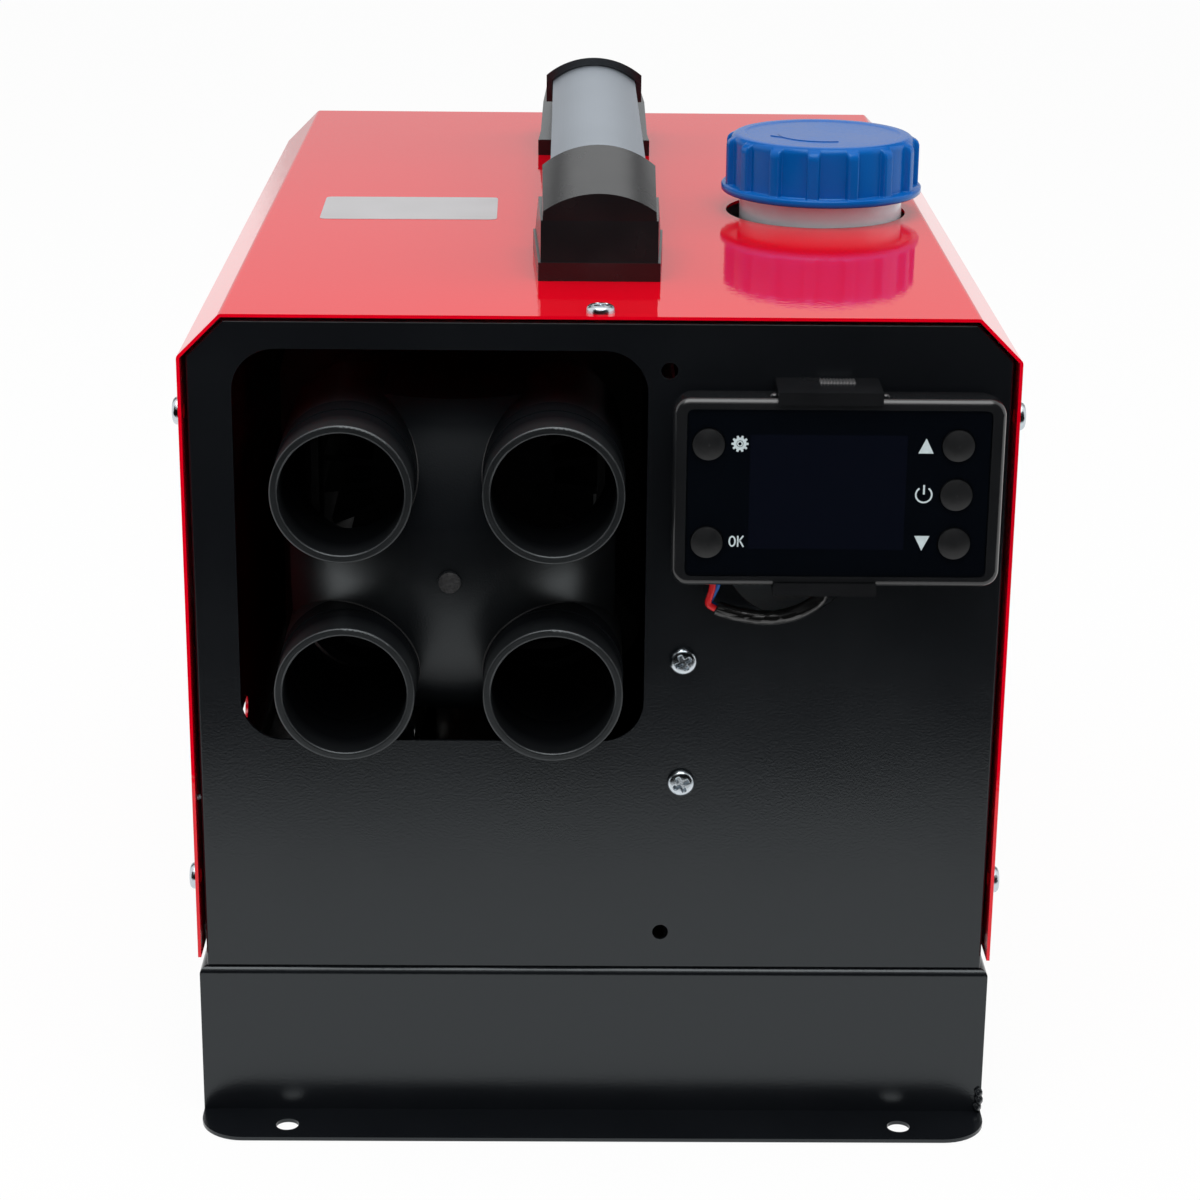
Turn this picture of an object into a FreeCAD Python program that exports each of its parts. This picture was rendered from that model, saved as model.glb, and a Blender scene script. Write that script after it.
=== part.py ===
"""All-in-one diesel parking heater with four warm-air outlets, in millimetres.

+Z is up, the outlets face -Y and +X is to the right of someone facing them. The origin lies on the
floor, in the middle of the four foot holes.
"""
import FreeCAD, Part
import math
import os

import Sketcher

Vector = FreeCAD.Vector

SIZES = {
    # Casing sheets
    "case_width": 250.0,
    "case_depth": 365.0,
    "case_height": 262.0,
    "cover_gauge": 1.0,
    "cover_chamfer": 13.0,
    "cover_bend": 1.8,
    "cover_gap": 3.5,
    "sheet_gauge": 1.2,
    "base_height": 51.0,
    "base_inset": 0.3,
    "base_bend": 2.4,
    "flange_reach": 18.8,
    "flange_corner": 14.0,
    "foot_hole_spacing": 194.4,
    "foot_hole_reach": 10.4,
    "foot_hole_radius": 3.6,
    "notch_width": 96.0,
    "notch_height": 36.0,
    "notch_corner": 12.0,
    "panel_recess": 1.0,
    "panel_side_gap": 1.6,
    "panel_top_gap": 1.0,
    "panel_chamfer": 11.2,
    "panel_return": 15.0,
    "panel_bend": 1.0,
    "lip_gap": 0.6,
    "lip_rise": 6.5,
    "design_width": 250.0,
    "design_height": 262.0,
    # Casing screws
    "screw_head": 4.25,
    "screw_rise": 2.3,
    "screw_shank": 1.9,
    "screw_length": 7.0,
    "screw_clearance": 0.3,
    "screw_setback": 6.0,
    "side_screw_lift": 29.0,
    "side_screw_drop": 31.0,
    # Carrying handle
    "handle_length": 271.0,
    "mount_length": 52.0,
    "mount_outer": 37.7,
    "mount_inner": 42.0,
    "mount_lean": 2.2,
    "plinth_height": 5.8,
    "plinth_step": 0.7,
    "leg_height": 18.5,
    "leg_width": 38.4,
    "sleeve_length": 41.0,
    "sleeve_width": 36.0,
    "face_width": 34.9,
    "face_shoulder": 21.3,
    "face_crown": 5.6,
    "sleeve_shoulder": 28.6,
    "sleeve_crown": 6.6,
    "grip_width": 31.0,
    "grip_height": 6.5,
    "grip_crown": 6.0,
    "grip_top": 32.2,
    "grip_wall": 2.0,
    "grip_socket": 8.0,
    "grip_clearance": 0.3,
    "socket_wall": 2.2,
    "handle_screw_inset": 16.0,
    "handle_screw_depth": 12.0,
    # Heat shield and fuel tank
    "shield_gauge": 1.0,
    "shield_lift": 2.0,
    "shield_back": 150.0,
    "shield_flange": 12.0,
    "shield_tab_margin": 12.0,
    "tank_gap": 1.6,
    "tank_side_gap": 3.0,
    "tank_front": -140.0,
    "tank_back": 150.0,
    "tank_corner": 12.0,
    "tank_wall": 2.5,
    "filler_y": -21.7,
    "neck_rise": 21.8,
    "tank_headroom": 19.0,
    "shield_headroom": 7.0,
    # One overrun serves every cut
    "overrun": 1.0,
}

# Lengths of what has to fit inside the case: they shrink with it if it is made smaller
FITTED_SIZES = {
    # Openings in the casing
    "cutout_side": 123.5,
    "cutout_corner": 13.0,
    "spare_hole_radius": 2.5,
    "cable_hole_radius": 20.0,
    "vent_y": -61.0,
    "vent_length": 60.0,
    "vent_width": 8.0,
    "vent_pitch": 16.0,
    "intake_radius": 50.0,
    "gland_radius": 9.0,
    "gland_bore": 4.5,
    "gland_lip": 2.5,
    "spare_hole_lift": 12.5,
    "spare_hole_drop": 16.6,
    "vent_lift": 16.0,
    "gland_lift": 27.0,
    # Four-outlet hood
    "outlet_pitch": 62.2,
    "outlet_radius": 21.0,
    "outlet_wall": 2.5,
    "outlet_reach": 20.8,
    "outlet_lip": 0.7,
    "hood_half": 50.0,
    "hood_corner": 22.0,
    "hood_wall": 2.4,
    "hood_depth": 78.5,
    "dome_radius": 62.0,
    "dome_reach": 7.0,
    "gate_radius": 3.6,
    "gate_rise": 0.8,
    "outlet_free": 18.0,
    "outlet_shoulder": 0.35,
    "outlet_seat": 9.3,
    "outlet_fit": 0.05,
    # Heater shells
    "shell_half": 60.0,
    "shell_rise": 60.0,
    "shell_drop": 66.0,
    "shell_corner": 26.0,
    "shell_foot_corner": 16.0,
    "shell_wall": 2.5,
    "shell_front": 102.5,
    "shell_taper": 18.0,
    "shell_rear_gap": 8.3,
    "nose_overlap": 12.0,
    "nose_clearance": 0.3,
    "seat_clearance": 0.5,
    # Heat exchanger and burner
    "core_radius": 31.0,
    "core_bore": 27.0,
    "core_end": 5.0,
    "fin_radius": 47.0,
    "fin_gauge": 2.2,
    "exchanger_front": -74.0,
    "exchanger_length": 136.0,
    "pedestal_width": 60.0,
    "pedestal_length": 96.0,
    "pedestal_drop": 2.0,
    "stud_x": 23.0,
    "stud_y": 40.0,
    "stud_radius": 3.0,
    "stud_length": 14.0,
    "pipe_y": 22.0,
    "exhaust_radius": 12.0,
    "air_radius": 12.5,
    "pipe_wall": 1.5,
    "pipe_port": 10.0,
    "pipe_end": 16.0,
    "pipe_clearance": 1.5,
    "floor_clearance": 1.5,
    "burner_radius": 21.0,
    "burner_wall": 1.5,
    "burner_length": 104.0,
    "burner_flange": 38.0,
    "burner_flange_gauge": 3.0,
    "burner_hole": 2.5,
    # Combustion blower, motor and warm-air blower
    "housing_radius": 44.0,
    "housing_length": 30.0,
    "housing_wall": 4.0,
    "impeller_radius": 36.0,
    "impeller_hub": 7.0,
    "impeller_length": 14.0,
    "impeller_plate": 2.0,
    "impeller_vane": 1.6,
    "impeller_gap": 2.5,
    "motor_radius": 26.0,
    "motor_length": 42.0,
    "motor_wall": 2.0,
    "bearing_radius": 6.5,
    "bearing_width": 5.0,
    "bearing_fit": 0.05,
    "shaft_radius": 2.5,
    "shaft_fit": 0.04,
    "blower_gap": 4.0,
    "blower_hub": 17.0,
    "blower_length": 22.0,
    "blower_radius": 49.0,
    "blade_gauge": 2.0,
    "blade_sweep": 9.0,
    "glow_x": 18.0,
    "glow_radius": 4.5,
    "glow_length": 16.0,
    "grille_gauge": 3.0,
    "grille_bar": 2.4,
    "sensor_width": 12.0,
    "sensor_length": 16.0,
    "sensor_height": 6.0,
    "board_width": 62.0,
    "board_length": 42.0,
    "board_gauge": 1.6,
    "board_post": 3.0,
    "board_post_inset": 5.0,
    "board_drop": 6.0,
    "part_height": 4.0,
    # Heater bracket
    "bracket_half": 53.0,
    "bracket_foot": 12.0,
    "bracket_gauge": 1.5,
    "bracket_length": 130.0,
    "gasket_gauge": 3.0,
    "gasket_margin": 5.0,
    "nut_flat": 10.0,
    "nut_height": 5.0,
    "nut_clearance": 0.15,
    "floor_screw_y": 45.0,
    # Filler cap
    "cap_radius": 31.2,
    "cap_height": 19.6,
    "cap_top": 2.6,
    "cap_edge": 1.6,
    "cap_ring_radius": 34.3,
    "cap_ring_height": 2.6,
    "cap_rib_reach": 2.0,
    "cap_rib_width": 4.4,
    "cap_clearance": 0.6,
    "seal_gauge": 2.4,
    "seal_gap": 0.15,
    # Fuel supply
    "fuel_line_radius": 2.5,
    "fitting_y": -118.0,
    "fitting_radius": 7.0,
    "fitting_flange": 3.0,
    "fitting_length": 14.0,
    "filter_radius": 9.0,
    "filter_length": 34.0,
    "filter_y": -79.0,
    "pump_radius": 14.0,
    "pump_length": 62.0,
    "pump_y": -5.0,
    "pump_end_radius": 8.0,
    "pump_end_length": 14.0,
    "pump_clamp_width": 16.0,
    "pump_clamp_wall": 3.0,
    "burner_inlet_y": 14.0,
    "fuel_lift": 22.0,
    "fuel_offset": 33.4,
    # Controller
    "panel_unit_reach": 15.5,
    "bezel_width": 97.5,
    "bezel_height": 57.5,
    "bezel_depth": 7.0,
    "bezel_corner": 5.0,
    "bezel_edge": 2.2,
    "window_width": 89.3,
    "window_height": 51.2,
    "window_corner": 2.0,
    "window_recess": 0.7,
    "window_gauge": 1.5,
    "window_fit": 0.15,
    "window_ledge": 2.6,
    "display_width": 46.0,
    "display_height": 35.0,
    "display_shift": -3.0,
    "display_gap": 0.2,
    "case_inset": 1.0,
    "case_wall": 1.8,
    "case_back": 13.5,
    "unit_board_depth": 8.0,
    "unit_board_margin": 1.5,
    "button_radius": 4.7,
    "button_rise": 1.0,
    "button_dome": 0.8,
    "button_clearance": 0.3,
    "button_flange": 5.8,
    "button_flange_gauge": 1.0,
    "button_stem": 2.0,
    "button_travel": 1.0,
    "button_left": -38.3,
    "button_right": 34.9,
    "button_pitch": 15.0,
    "switch_side": 6.0,
    "clip_width": 30.6,
    "clip_arm": 2.0,
    "clip_gap": 0.4,
    "clip_lip": 1.4,
    "clip_lip_gauge": 1.1,
    "cable_radius": 2.0,
    "wire_radius": 1.0,
    "plug_width": 12.0,
    "plug_length": 18.0,
    "plug_height": 9.0,
    # Filler neck
    "filler_hole_radius": 30.9,
    "filler_shift_x": -1.5,
    "filler_shift_y": 1.7,
    "neck_radius": 27.9,
    "neck_wall": 3.0,
}

# Places that keep their share of the case's width
PLACES_ACROSS = {
    "cutout_x": -47.4,
    "spare_hole_x": 20.6,
    "cable_hole_x": 58.0,
    "gland_x": 62.0,
    "panel_screw_x": 26.2,
    "hood_x": -44.6,
    "shield_x": 22.4,
    "filler_x": 77.3,
    "panel_unit_x": 70.0,
}

# Places that keep their share of the case's height
PLACES_UP = {
    "cutout_z": 189.6,
    "cable_hole_z": 189.0,
    "panel_screw_low": 114.5,
    "panel_screw_high": 154.5,
    "hood_z": 181.9,
    "panel_unit_z": 212.6,
}

FIN_COUNT = 26
BLADE_COUNT = 9
VANE_COUNT = 12
CAP_RIB_COUNT = 15
VENT_COUNT = 2
GRILLE_RING_COUNT = 3
GRILLE_BAR_COUNT = 3
BURNER_HOLE_COUNT = 10
FULL_TURN = 360.0


class Size:
    """A length: its number now, and the sheet expression that gives it."""

    def __init__(self, number, text):
        self.number = float(number)
        self.text = text

    def __float__(self):
        return self.number

    def __add__(self, other):
        other = sized(other)
        return Size(self.number + other.number, f"({self.text} + {other.text})")

    def __sub__(self, other):
        other = sized(other)
        return Size(self.number - other.number, f"({self.text} - {other.text})")

    def __mul__(self, other):
        other = sized(other)
        return Size(self.number * other.number, f"({self.text} * {other.text})")

    def __truediv__(self, other):
        other = sized(other)
        return Size(self.number / other.number, f"({self.text} / {other.text})")

    def __neg__(self):
        return Size(-self.number, f"(-{self.text})")

    def root(self):
        return Size(math.sqrt(self.number), f"sqrt({self.text})")


def smaller(first, second):
    """Return the smaller of two sizes."""
    return Size(min(first.number, second.number), f"min({first.text}; {second.text})")


def sized(value):
    """Return a value as a Size, so that plain shares and zero can join a sum."""
    return value if isinstance(value, Size) else Size(value, f"({value!r})")


class Dimensions:
    """The driving sizes, written to the sheet and read back by name."""

    def __init__(self, document):
        self.sheet = document.addObject("Spreadsheet::Sheet", "sizes")
        self.row = 0
        self.read(SIZES)
        across = self.case_width / self.design_width
        up = self.case_height / self.design_height
        self.fit = smaller(across, up)
        self.read(FITTED_SIZES, self.fit)
        self.read(PLACES_ACROSS, across)
        self.read(PLACES_UP, up)

    def read(self, table, share=None):
        """Write a table to the sheet, and keep each of its sizes times the case's share."""
        for name, number in table.items():
            self.row += 1
            self.sheet.set(f"A{self.row}", name)
            self.sheet.set(f"B{self.row}", str(number))
            self.sheet.setAlias(f"B{self.row}", name)
            size = Size(number, f"sizes.{name}")
            setattr(self, name, size if share is None else size * share)


DOC = FreeCAD.newDocument("parking_heater")
d = Dimensions(DOC)
DOC.recompute()

# Planes and places that several sub-parts share
front = -(d.case_depth / 2)
rear = d.case_depth / 2
half_case = d.case_width / 2
half_base = half_case - d.base_inset
panel_front = front + d.panel_recess
panel_back = panel_front + d.sheet_gauge
rear_panel_inside = -panel_back
half_panel = half_case - d.cover_gauge - d.panel_side_gap
panel_top = d.case_height - d.cover_gauge - d.panel_top_gap
screw_hole = d.screw_shank + d.screw_clearance
hood_back = front + d.hood_depth
nose_half = d.hood_half - d.hood_wall - d.nose_clearance
nose_corner = d.hood_corner - d.hood_wall - d.nose_clearance
nose_front = hood_back - d.nose_overlap
shell_start = front + d.shell_front
shell_end = rear_panel_inside - d.shell_rear_gap
exchanger_end = d.exchanger_front + d.exchanger_length
pedestal_bottom = d.shell_drop + d.pedestal_drop
bracket_top = d.hood_z - pedestal_bottom - d.gasket_gauge
housing_front = exchanger_end + d.burner_flange_gauge
housing_end = housing_front + d.housing_length
motor_end = housing_end + d.motor_length
blower_front = motor_end + d.blower_gap
blower_end = blower_front + d.blower_length
tank_left = d.shield_x + d.shield_gauge + d.tank_gap
tank_right = half_case - d.cover_gauge - d.tank_side_gap
neck_top = d.case_height + d.neck_rise
cap_inside_top = neck_top + d.seal_gauge + d.seal_gap * 2
cap_bottom = cap_inside_top + d.cap_top - d.cap_height
unit_face = front - d.panel_unit_reach
fuel_x = d.hood_x - d.fuel_offset
fuel_z = d.base_height + d.fuel_lift
tank_top = d.case_height - d.tank_headroom
shield_top = tank_top - d.shield_headroom
side_screw_low = d.base_height + d.side_screw_lift
side_screw_high = d.case_height - d.side_screw_drop
gland_z = d.base_height + d.gland_lift


# Drawing helpers

def bind(item, name, size):
    """Tie one property of an object to the sheet."""
    item.setExpression(name, sized(size).text)


def new_body(label, x=0, y=0, z=0):
    """Start a body whose own origin lies at a place in the part."""
    body = DOC.addObject("PartDesign::Body", label)
    body.Label = label
    for axis, place in zip("xyz", (x, y, z)):
        bind(body, f".Placement.Base.{axis}", place)
    return body


def draw(body, plane, at, *outlines):
    """Sketch closed outlines on one of the body's origin planes, moved along its axis to at."""
    sketch = body.newObject("Sketcher::SketchObject", f"{body.Label}_sketch")
    support = [item for item in body.Origin.OriginFeatures if item.Role == f"{plane}_Plane"][0]
    sketch.AttachmentSupport = (support, [""])
    sketch.MapMode = "FlatFace"
    bind(sketch, "AttachmentOffset.Base.z", -sized(at) if plane == "XZ" else at)
    for geometry, links, sizes in outlines:
        first = sketch.GeometryCount
        sketch.addGeometry(geometry, False)
        joined = [Sketcher.Constraint("Coincident", first + a, end, first + b, start)
                  for a, end, b, start in links]
        if joined:
            sketch.addConstraint(joined)
        count = sketch.ConstraintCount
        sketch.addConstraint([Sketcher.Constraint(kind, first + index, *point, float(size))
                              for kind, index, point, size in sizes])
        for offset, (_, _, _, size) in enumerate(sizes):
            sketch.setExpression(f"Constraints[{count + offset}]", size.text)
    return sketch


def circle(u, v, radius):
    """A full circle."""
    u, v, radius = sized(u), sized(v), sized(radius)
    geometry = [Part.Circle(Vector(float(u), float(v), 0), Vector(0, 0, 1), float(radius))]
    sizes = [("DistanceX", 0, (3,), u), ("DistanceY", 0, (3,), v), ("Radius", 0, (), radius)]
    return geometry, [], sizes


def arc_between(start, end, radius):
    """The arc under a half turn from start to end; a negative radius turns to the right."""
    chord = end - start
    left = Vector(-chord.y, chord.x, 0)
    left.normalize()
    height = math.sqrt(max(radius * radius - chord.Length ** 2 / 4, 0))
    centre = start + chord / 2 + left * math.copysign(height, radius)
    round_edge = Part.Circle(centre, Vector(0, 0, 1), abs(radius))
    first, last = (start, end) if radius > 0 else (end, start)
    angles = [math.atan2(point.y - centre.y, point.x - centre.x) for point in (first, last)]
    return Part.ArcOfCircle(round_edge, *angles)


def outline(*corners):
    """A closed outline. Each corner is (u, v), or (u, v, radius) where an arc starts there."""
    corners = [tuple(sized(value) for value in corner) for corner in corners]
    points = [Vector(float(corner[0]), float(corner[1]), 0) for corner in corners]
    geometry, links, sizes, ends = [], [], [], []
    for index, corner in enumerate(corners):
        start, end = points[index], points[(index + 1) % len(points)]
        turns_right = len(corner) > 2 and float(corner[2]) < 0
        ends.append((2, 1) if turns_right else (1, 2))
        if len(corner) > 2:
            geometry.append(arc_between(start, end, float(corner[2])))
            sizes.append(("Radius", index, (), -corner[2] if turns_right else corner[2]))
        else:
            geometry.append(Part.LineSegment(start, end))
        sizes.append(("DistanceX", index, (ends[-1][0],), corner[0]))
        sizes.append(("DistanceY", index, (ends[-1][0],), corner[1]))
    for index in range(len(corners)):
        following = (index + 1) % len(corners)
        links.append((index, ends[index][1], following, ends[following][0]))
    return geometry, links, sizes


def box(left, right, low, high, radius=None):
    """A rectangle, with rounded corners if it has a radius."""
    left, right, low, high = sized(left), sized(right), sized(low), sized(high)
    if radius is None:
        return outline((left, low), (right, low), (right, high), (left, high))
    return outline((left + radius, low), (right - radius, low, radius),
                   (right, low + radius), (right, high - radius, radius),
                   (right - radius, high), (left + radius, high, radius),
                   (left, high - radius), (left, low + radius, radius))


def hump(half, base, top, radius):
    """An upright half section: square at its base and rounded at its top corners."""
    return outline((-half, base), (half, base), (half, top - radius, radius), (half - radius, top),
                   (radius - half, top, radius), (-half, top - radius))


def arch(half_low, half_high, low, shoulder, crown):
    """A section with drafted sides and an arched top."""
    bow = (half_high * half_high + crown * crown) / (crown * 2)
    return outline((-half_low, low), (half_low, low), (half_high, shoulder, bow), (-half_high, shoulder))


def chamfered(half, low, high, chamfer):
    """The casing's section: a rectangle with its top corners cut off."""
    return outline((-half, low), (half, low), (half, high - chamfer), (half - chamfer, high),
                   (chamfer - half, high), (-half, high - chamfer))


def add(body, plane, at, length, *outlines):
    """Pad outlines from at, towards the positive end of the plane's axis."""
    pad = body.newObject("PartDesign::Pad", f"{body.Label}_pad")
    pad.Profile = draw(body, plane, at, *outlines)
    pad.Reversed = plane == "XZ"
    bind(pad, "Length", length)
    return pad


def cut(body, plane, at, length, *outlines):
    """Pocket outlines from at, towards the positive end of the plane's axis."""
    pocket = body.newObject("PartDesign::Pocket", f"{body.Label}_pocket")
    pocket.Profile = draw(body, plane, at, *outlines)
    pocket.Reversed = plane != "XZ"
    bind(pocket, "Length", length)
    return pocket


def turn(body, plane, *corners, groove=False):
    """Revolve an outline: about Y on YZ, about Z on XZ and about X on XY."""
    kind = "PartDesign::Groove" if groove else "PartDesign::Revolution"
    feature = body.newObject(kind, f"{body.Label}_turned")
    feature.Profile = draw(body, plane, 0, outline(*corners))
    feature.ReferenceAxis = (feature.Profile[0], ["V_Axis" if plane == "XZ" else "H_Axis"])
    feature.Angle = FULL_TURN
    return feature


def repeat(body, feature, count, axis="Y"):
    """Repeat a feature round one of the body's own axes."""
    pattern = body.newObject("PartDesign::PolarPattern", f"{body.Label}_pattern")
    pattern.Originals = [feature]
    line = [item for item in body.Origin.OriginFeatures if item.Role == f"{axis}_Axis"][0]
    pattern.Axis = (line, [""])
    pattern.Angle = FULL_TURN
    pattern.Occurrences = count
    body.Tip = pattern
    return pattern


def loft(body, sections, hollow=False):
    """Loft from the first section to the last."""
    kind = "PartDesign::SubtractiveLoft" if hollow else "PartDesign::AdditiveLoft"
    feature = body.newObject(kind, f"{body.Label}_loft")
    feature.Profile = sections[0]
    feature.Sections = sections[1:]
    feature.Ruled = True
    return feature


def soften(body, radius, test):
    """Round the edges of the body so far that pass a test on their middle and their box."""
    DOC.recompute()
    base = body.Tip
    names = [f"Edge{number}" for number, edge in enumerate(base.Shape.Edges, start=1)
             if test(edge.CenterOfMass, edge.BoundBox)]
    fillet = body.newObject("PartDesign::Fillet", f"{body.Label}_fillet")
    fillet.Base = (base, names)
    bind(fillet, "Radius", radius)
    return fillet


def near(number, size):
    """Tell whether a coordinate lies on a named plane."""
    return abs(number - float(size)) < TOUCH


TOUCH = 1e-4


def group(label, template, places):
    """Copies of one fastener, at (position, rotation) pairs, as one node of separate solids."""
    DOC.recompute()
    copies = []
    for position, rotation in places:
        copy = template.Shape.copy()
        copy.Placement = FreeCAD.Placement(Vector(*[float(value) for value in position]), rotation)
        copies.append(copy)
    node = DOC.addObject("Part::Feature", label)
    node.Label = label
    node.Shape = Part.makeCompound(copies)
    return node


def hollowed(label, form, *insides):
    """Cut the inside forms out of the outer one."""
    tool = insides[0]
    if len(insides) > 1:
        tool = DOC.addObject("Part::MultiFuse", f"{label}_insides")
        tool.Shapes = list(insides)
    node = DOC.addObject("Part::Cut", label)
    node.Label = label
    node.Base = form
    node.Tool = tool
    return node


def tube(label, points, radius):
    """A round cord or pipe along straight runs joined by arcs as large as the runs allow."""
    points = [Vector(*[float(value) for value in point]) for point in points]
    edges, here, radii = [], points[0], []
    for before, corner, after in zip(points, points[1:], points[2:]):
        back, ahead = before - corner, after - corner
        reach = BEND_SHARE * min(back.Length, ahead.Length)
        start = corner + back.normalize() * reach
        end = corner + ahead.normalize() * reach
        inward = back + ahead
        half_angle = back.getAngle(ahead) / 2
        radii.append(reach * math.tan(half_angle))
        middle = corner + inward.normalize() * (reach / math.cos(half_angle) - radii[-1])
        edges += [Part.LineSegment(here, start).toShape(), Part.Arc(start, middle, end).toShape()]
        here = end
    edges.append(Part.LineSegment(here, points[-1]).toShape())
    path = Part.Wire(edges)
    section = Part.Wire(Part.Circle(points[0], points[1] - points[0], float(radius)).toShape())
    node = DOC.addObject("Part::Feature", label)
    node.Label = label
    node.Shape = path.makePipeShell([section], True, False)
    print(label, "length", round(path.Length, 1), "radii", [round(value, 1) for value in radii])
    return node


BEND_SHARE = 0.45


# Casing

def base_tray():
    """Folded base: a raised floor on four walls, with a bolting flange at each end."""
    body = new_body("base_tray")
    wall = d.sheet_gauge
    add(body, "XY", 0, d.base_height, box(-half_base, half_base, front, rear))
    cut(body, "XY", 0, d.base_height - wall,
        box(wall - half_base, half_base - wall, front + wall, rear - wall))
    soften(body, d.base_bend, lambda middle, span: near(middle.z, d.base_height) and span.ZLength < TOUCH
           and near(max(abs(middle.x) - float(half_base), abs(middle.y) - float(rear)), 0))
    lip = half_case - d.cover_gauge - d.lip_gap
    lip_end = rear - d.panel_recess - d.panel_return - wall * 2
    add(body, "XY", d.base_height - wall / 2, d.lip_rise + wall / 2,
        box(lip - wall, lip, -lip_end, lip_end), box(-lip, wall - lip, -lip_end, lip_end))
    reach, corner = rear + d.flange_reach, d.flange_corner
    for side in (1, -1):
        inner, outer = (rear - wall) * side, reach * side
        add(body, "XY", 0, wall,
            outline((-half_base, inner), (-half_base, outer - corner * side, corner * -side),
                    (corner - half_base, outer), (half_base - corner, outer, corner * -side),
                    (half_base, outer - corner * side), (half_base, inner)))
    hole_x, hole_y = d.foot_hole_spacing / 2, rear + d.foot_hole_reach
    cut(body, "XY", -d.overrun, wall + d.overrun * 2,
        *[circle(hole_x * x, hole_y * y, d.foot_hole_radius) for x in (1, -1) for y in (1, -1)])
    exhaust_hole, air_hole = d.exhaust_radius + d.floor_clearance, d.air_radius + d.floor_clearance
    cut(body, "XY", d.base_height - wall - d.overrun, wall + d.overrun * 2,
        circle(d.hood_x, -d.pipe_y, exhaust_hole), circle(d.hood_x, d.pipe_y, air_hole),
        *[circle(x, y, screw_hole) for x, y in floor_screw_places()])
    half_notch, corner = d.notch_width / 2, d.notch_corner
    cut(body, "YZ", -half_base - d.overrun, wall + d.overrun * 2,
        hump(half_notch, -d.overrun, d.notch_height, corner))
    return body


def floor_screw_places():
    """Where the bracket's feet are screwed to the floor."""
    reach = d.bracket_half + d.bracket_foot / 2
    return [(d.hood_x + reach * x, d.floor_screw_y * y) for x in (1, -1) for y in (1, -1)]


def panel_blank(label, face, side):
    """A dished end panel: a flat sheet with returns that reach into the case."""
    body = new_body(label)
    low, wall = d.base_height, d.sheet_gauge
    depth = d.panel_return
    start = face if side > 0 else face - depth
    add(body, "XZ", start, depth, chamfered(half_panel, low, panel_top, d.panel_chamfer))
    inner_chamfer = d.panel_chamfer - wall * (2 - math.sqrt(2))
    inner_start = face + wall if side > 0 else face - depth - d.overrun
    cut(body, "XZ", inner_start, depth - wall + d.overrun,
        chamfered(half_panel - wall, low + wall, panel_top - wall, inner_chamfer))
    soften(body, d.panel_bend, lambda middle, span: near(middle.y, face) and span.YLength < TOUCH)
    screw_y = (front + d.screw_setback) * side
    cut(body, "XY", panel_top - wall - d.overrun, wall + d.overrun * 2, circle(0, screw_y, screw_hole))
    for x in (half_panel - wall - d.overrun, -half_panel - d.overrun):
        cut(body, "YZ", x, wall + d.overrun * 2,
            *[circle(screw_y, z, screw_hole) for z in (side_screw_low, side_screw_high)])
    return body


def front_panel():
    """Front panel with the outlet cut-out, cable hole, screw holes and two spare holes."""
    body = panel_blank("front_panel", panel_front, 1)
    half = d.cutout_side / 2
    cut(body, "XZ", panel_front - d.overrun, d.sheet_gauge + d.overrun * 2,
        box(d.cutout_x - half, d.cutout_x + half, d.cutout_z - half, d.cutout_z + half, d.cutout_corner),
        circle(d.cable_hole_x, d.cable_hole_z, d.cable_hole_radius),
        circle(d.spare_hole_x, d.base_height + d.spare_hole_lift, d.spare_hole_radius),
        circle(d.spare_hole_x, d.case_height - d.spare_hole_drop, d.spare_hole_radius),
        circle(d.panel_screw_x, d.panel_screw_low, screw_hole),
        circle(d.panel_screw_x, d.panel_screw_high, screw_hole))
    return body


def rear_panel():
    """Rear panel with the air-intake opening and the cable gland's hole."""
    body = panel_blank("rear_panel", -panel_front, -1)
    cut(body, "XZ", rear_panel_inside - d.overrun, d.sheet_gauge + d.overrun * 2,
        circle(d.hood_x, d.hood_z, d.intake_radius), circle(d.gland_x, gland_z, d.gland_radius))
    return body


def rear_gland():
    """Rubber gland that lines the rear panel's cable hole."""
    body = new_body("rear_gland", d.gland_x, rear_panel_inside, gland_z)
    lip, wall = d.gland_lip, d.sheet_gauge
    outer, neck = d.gland_radius + lip, d.gland_radius - d.window_fit
    turn(body, "YZ", (-lip, d.gland_bore), (wall + lip, d.gland_bore), (wall + lip, neck),
         (wall, outer), (wall, neck), (0, neck), (0, outer), (-lip, outer))
    return body


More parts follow.
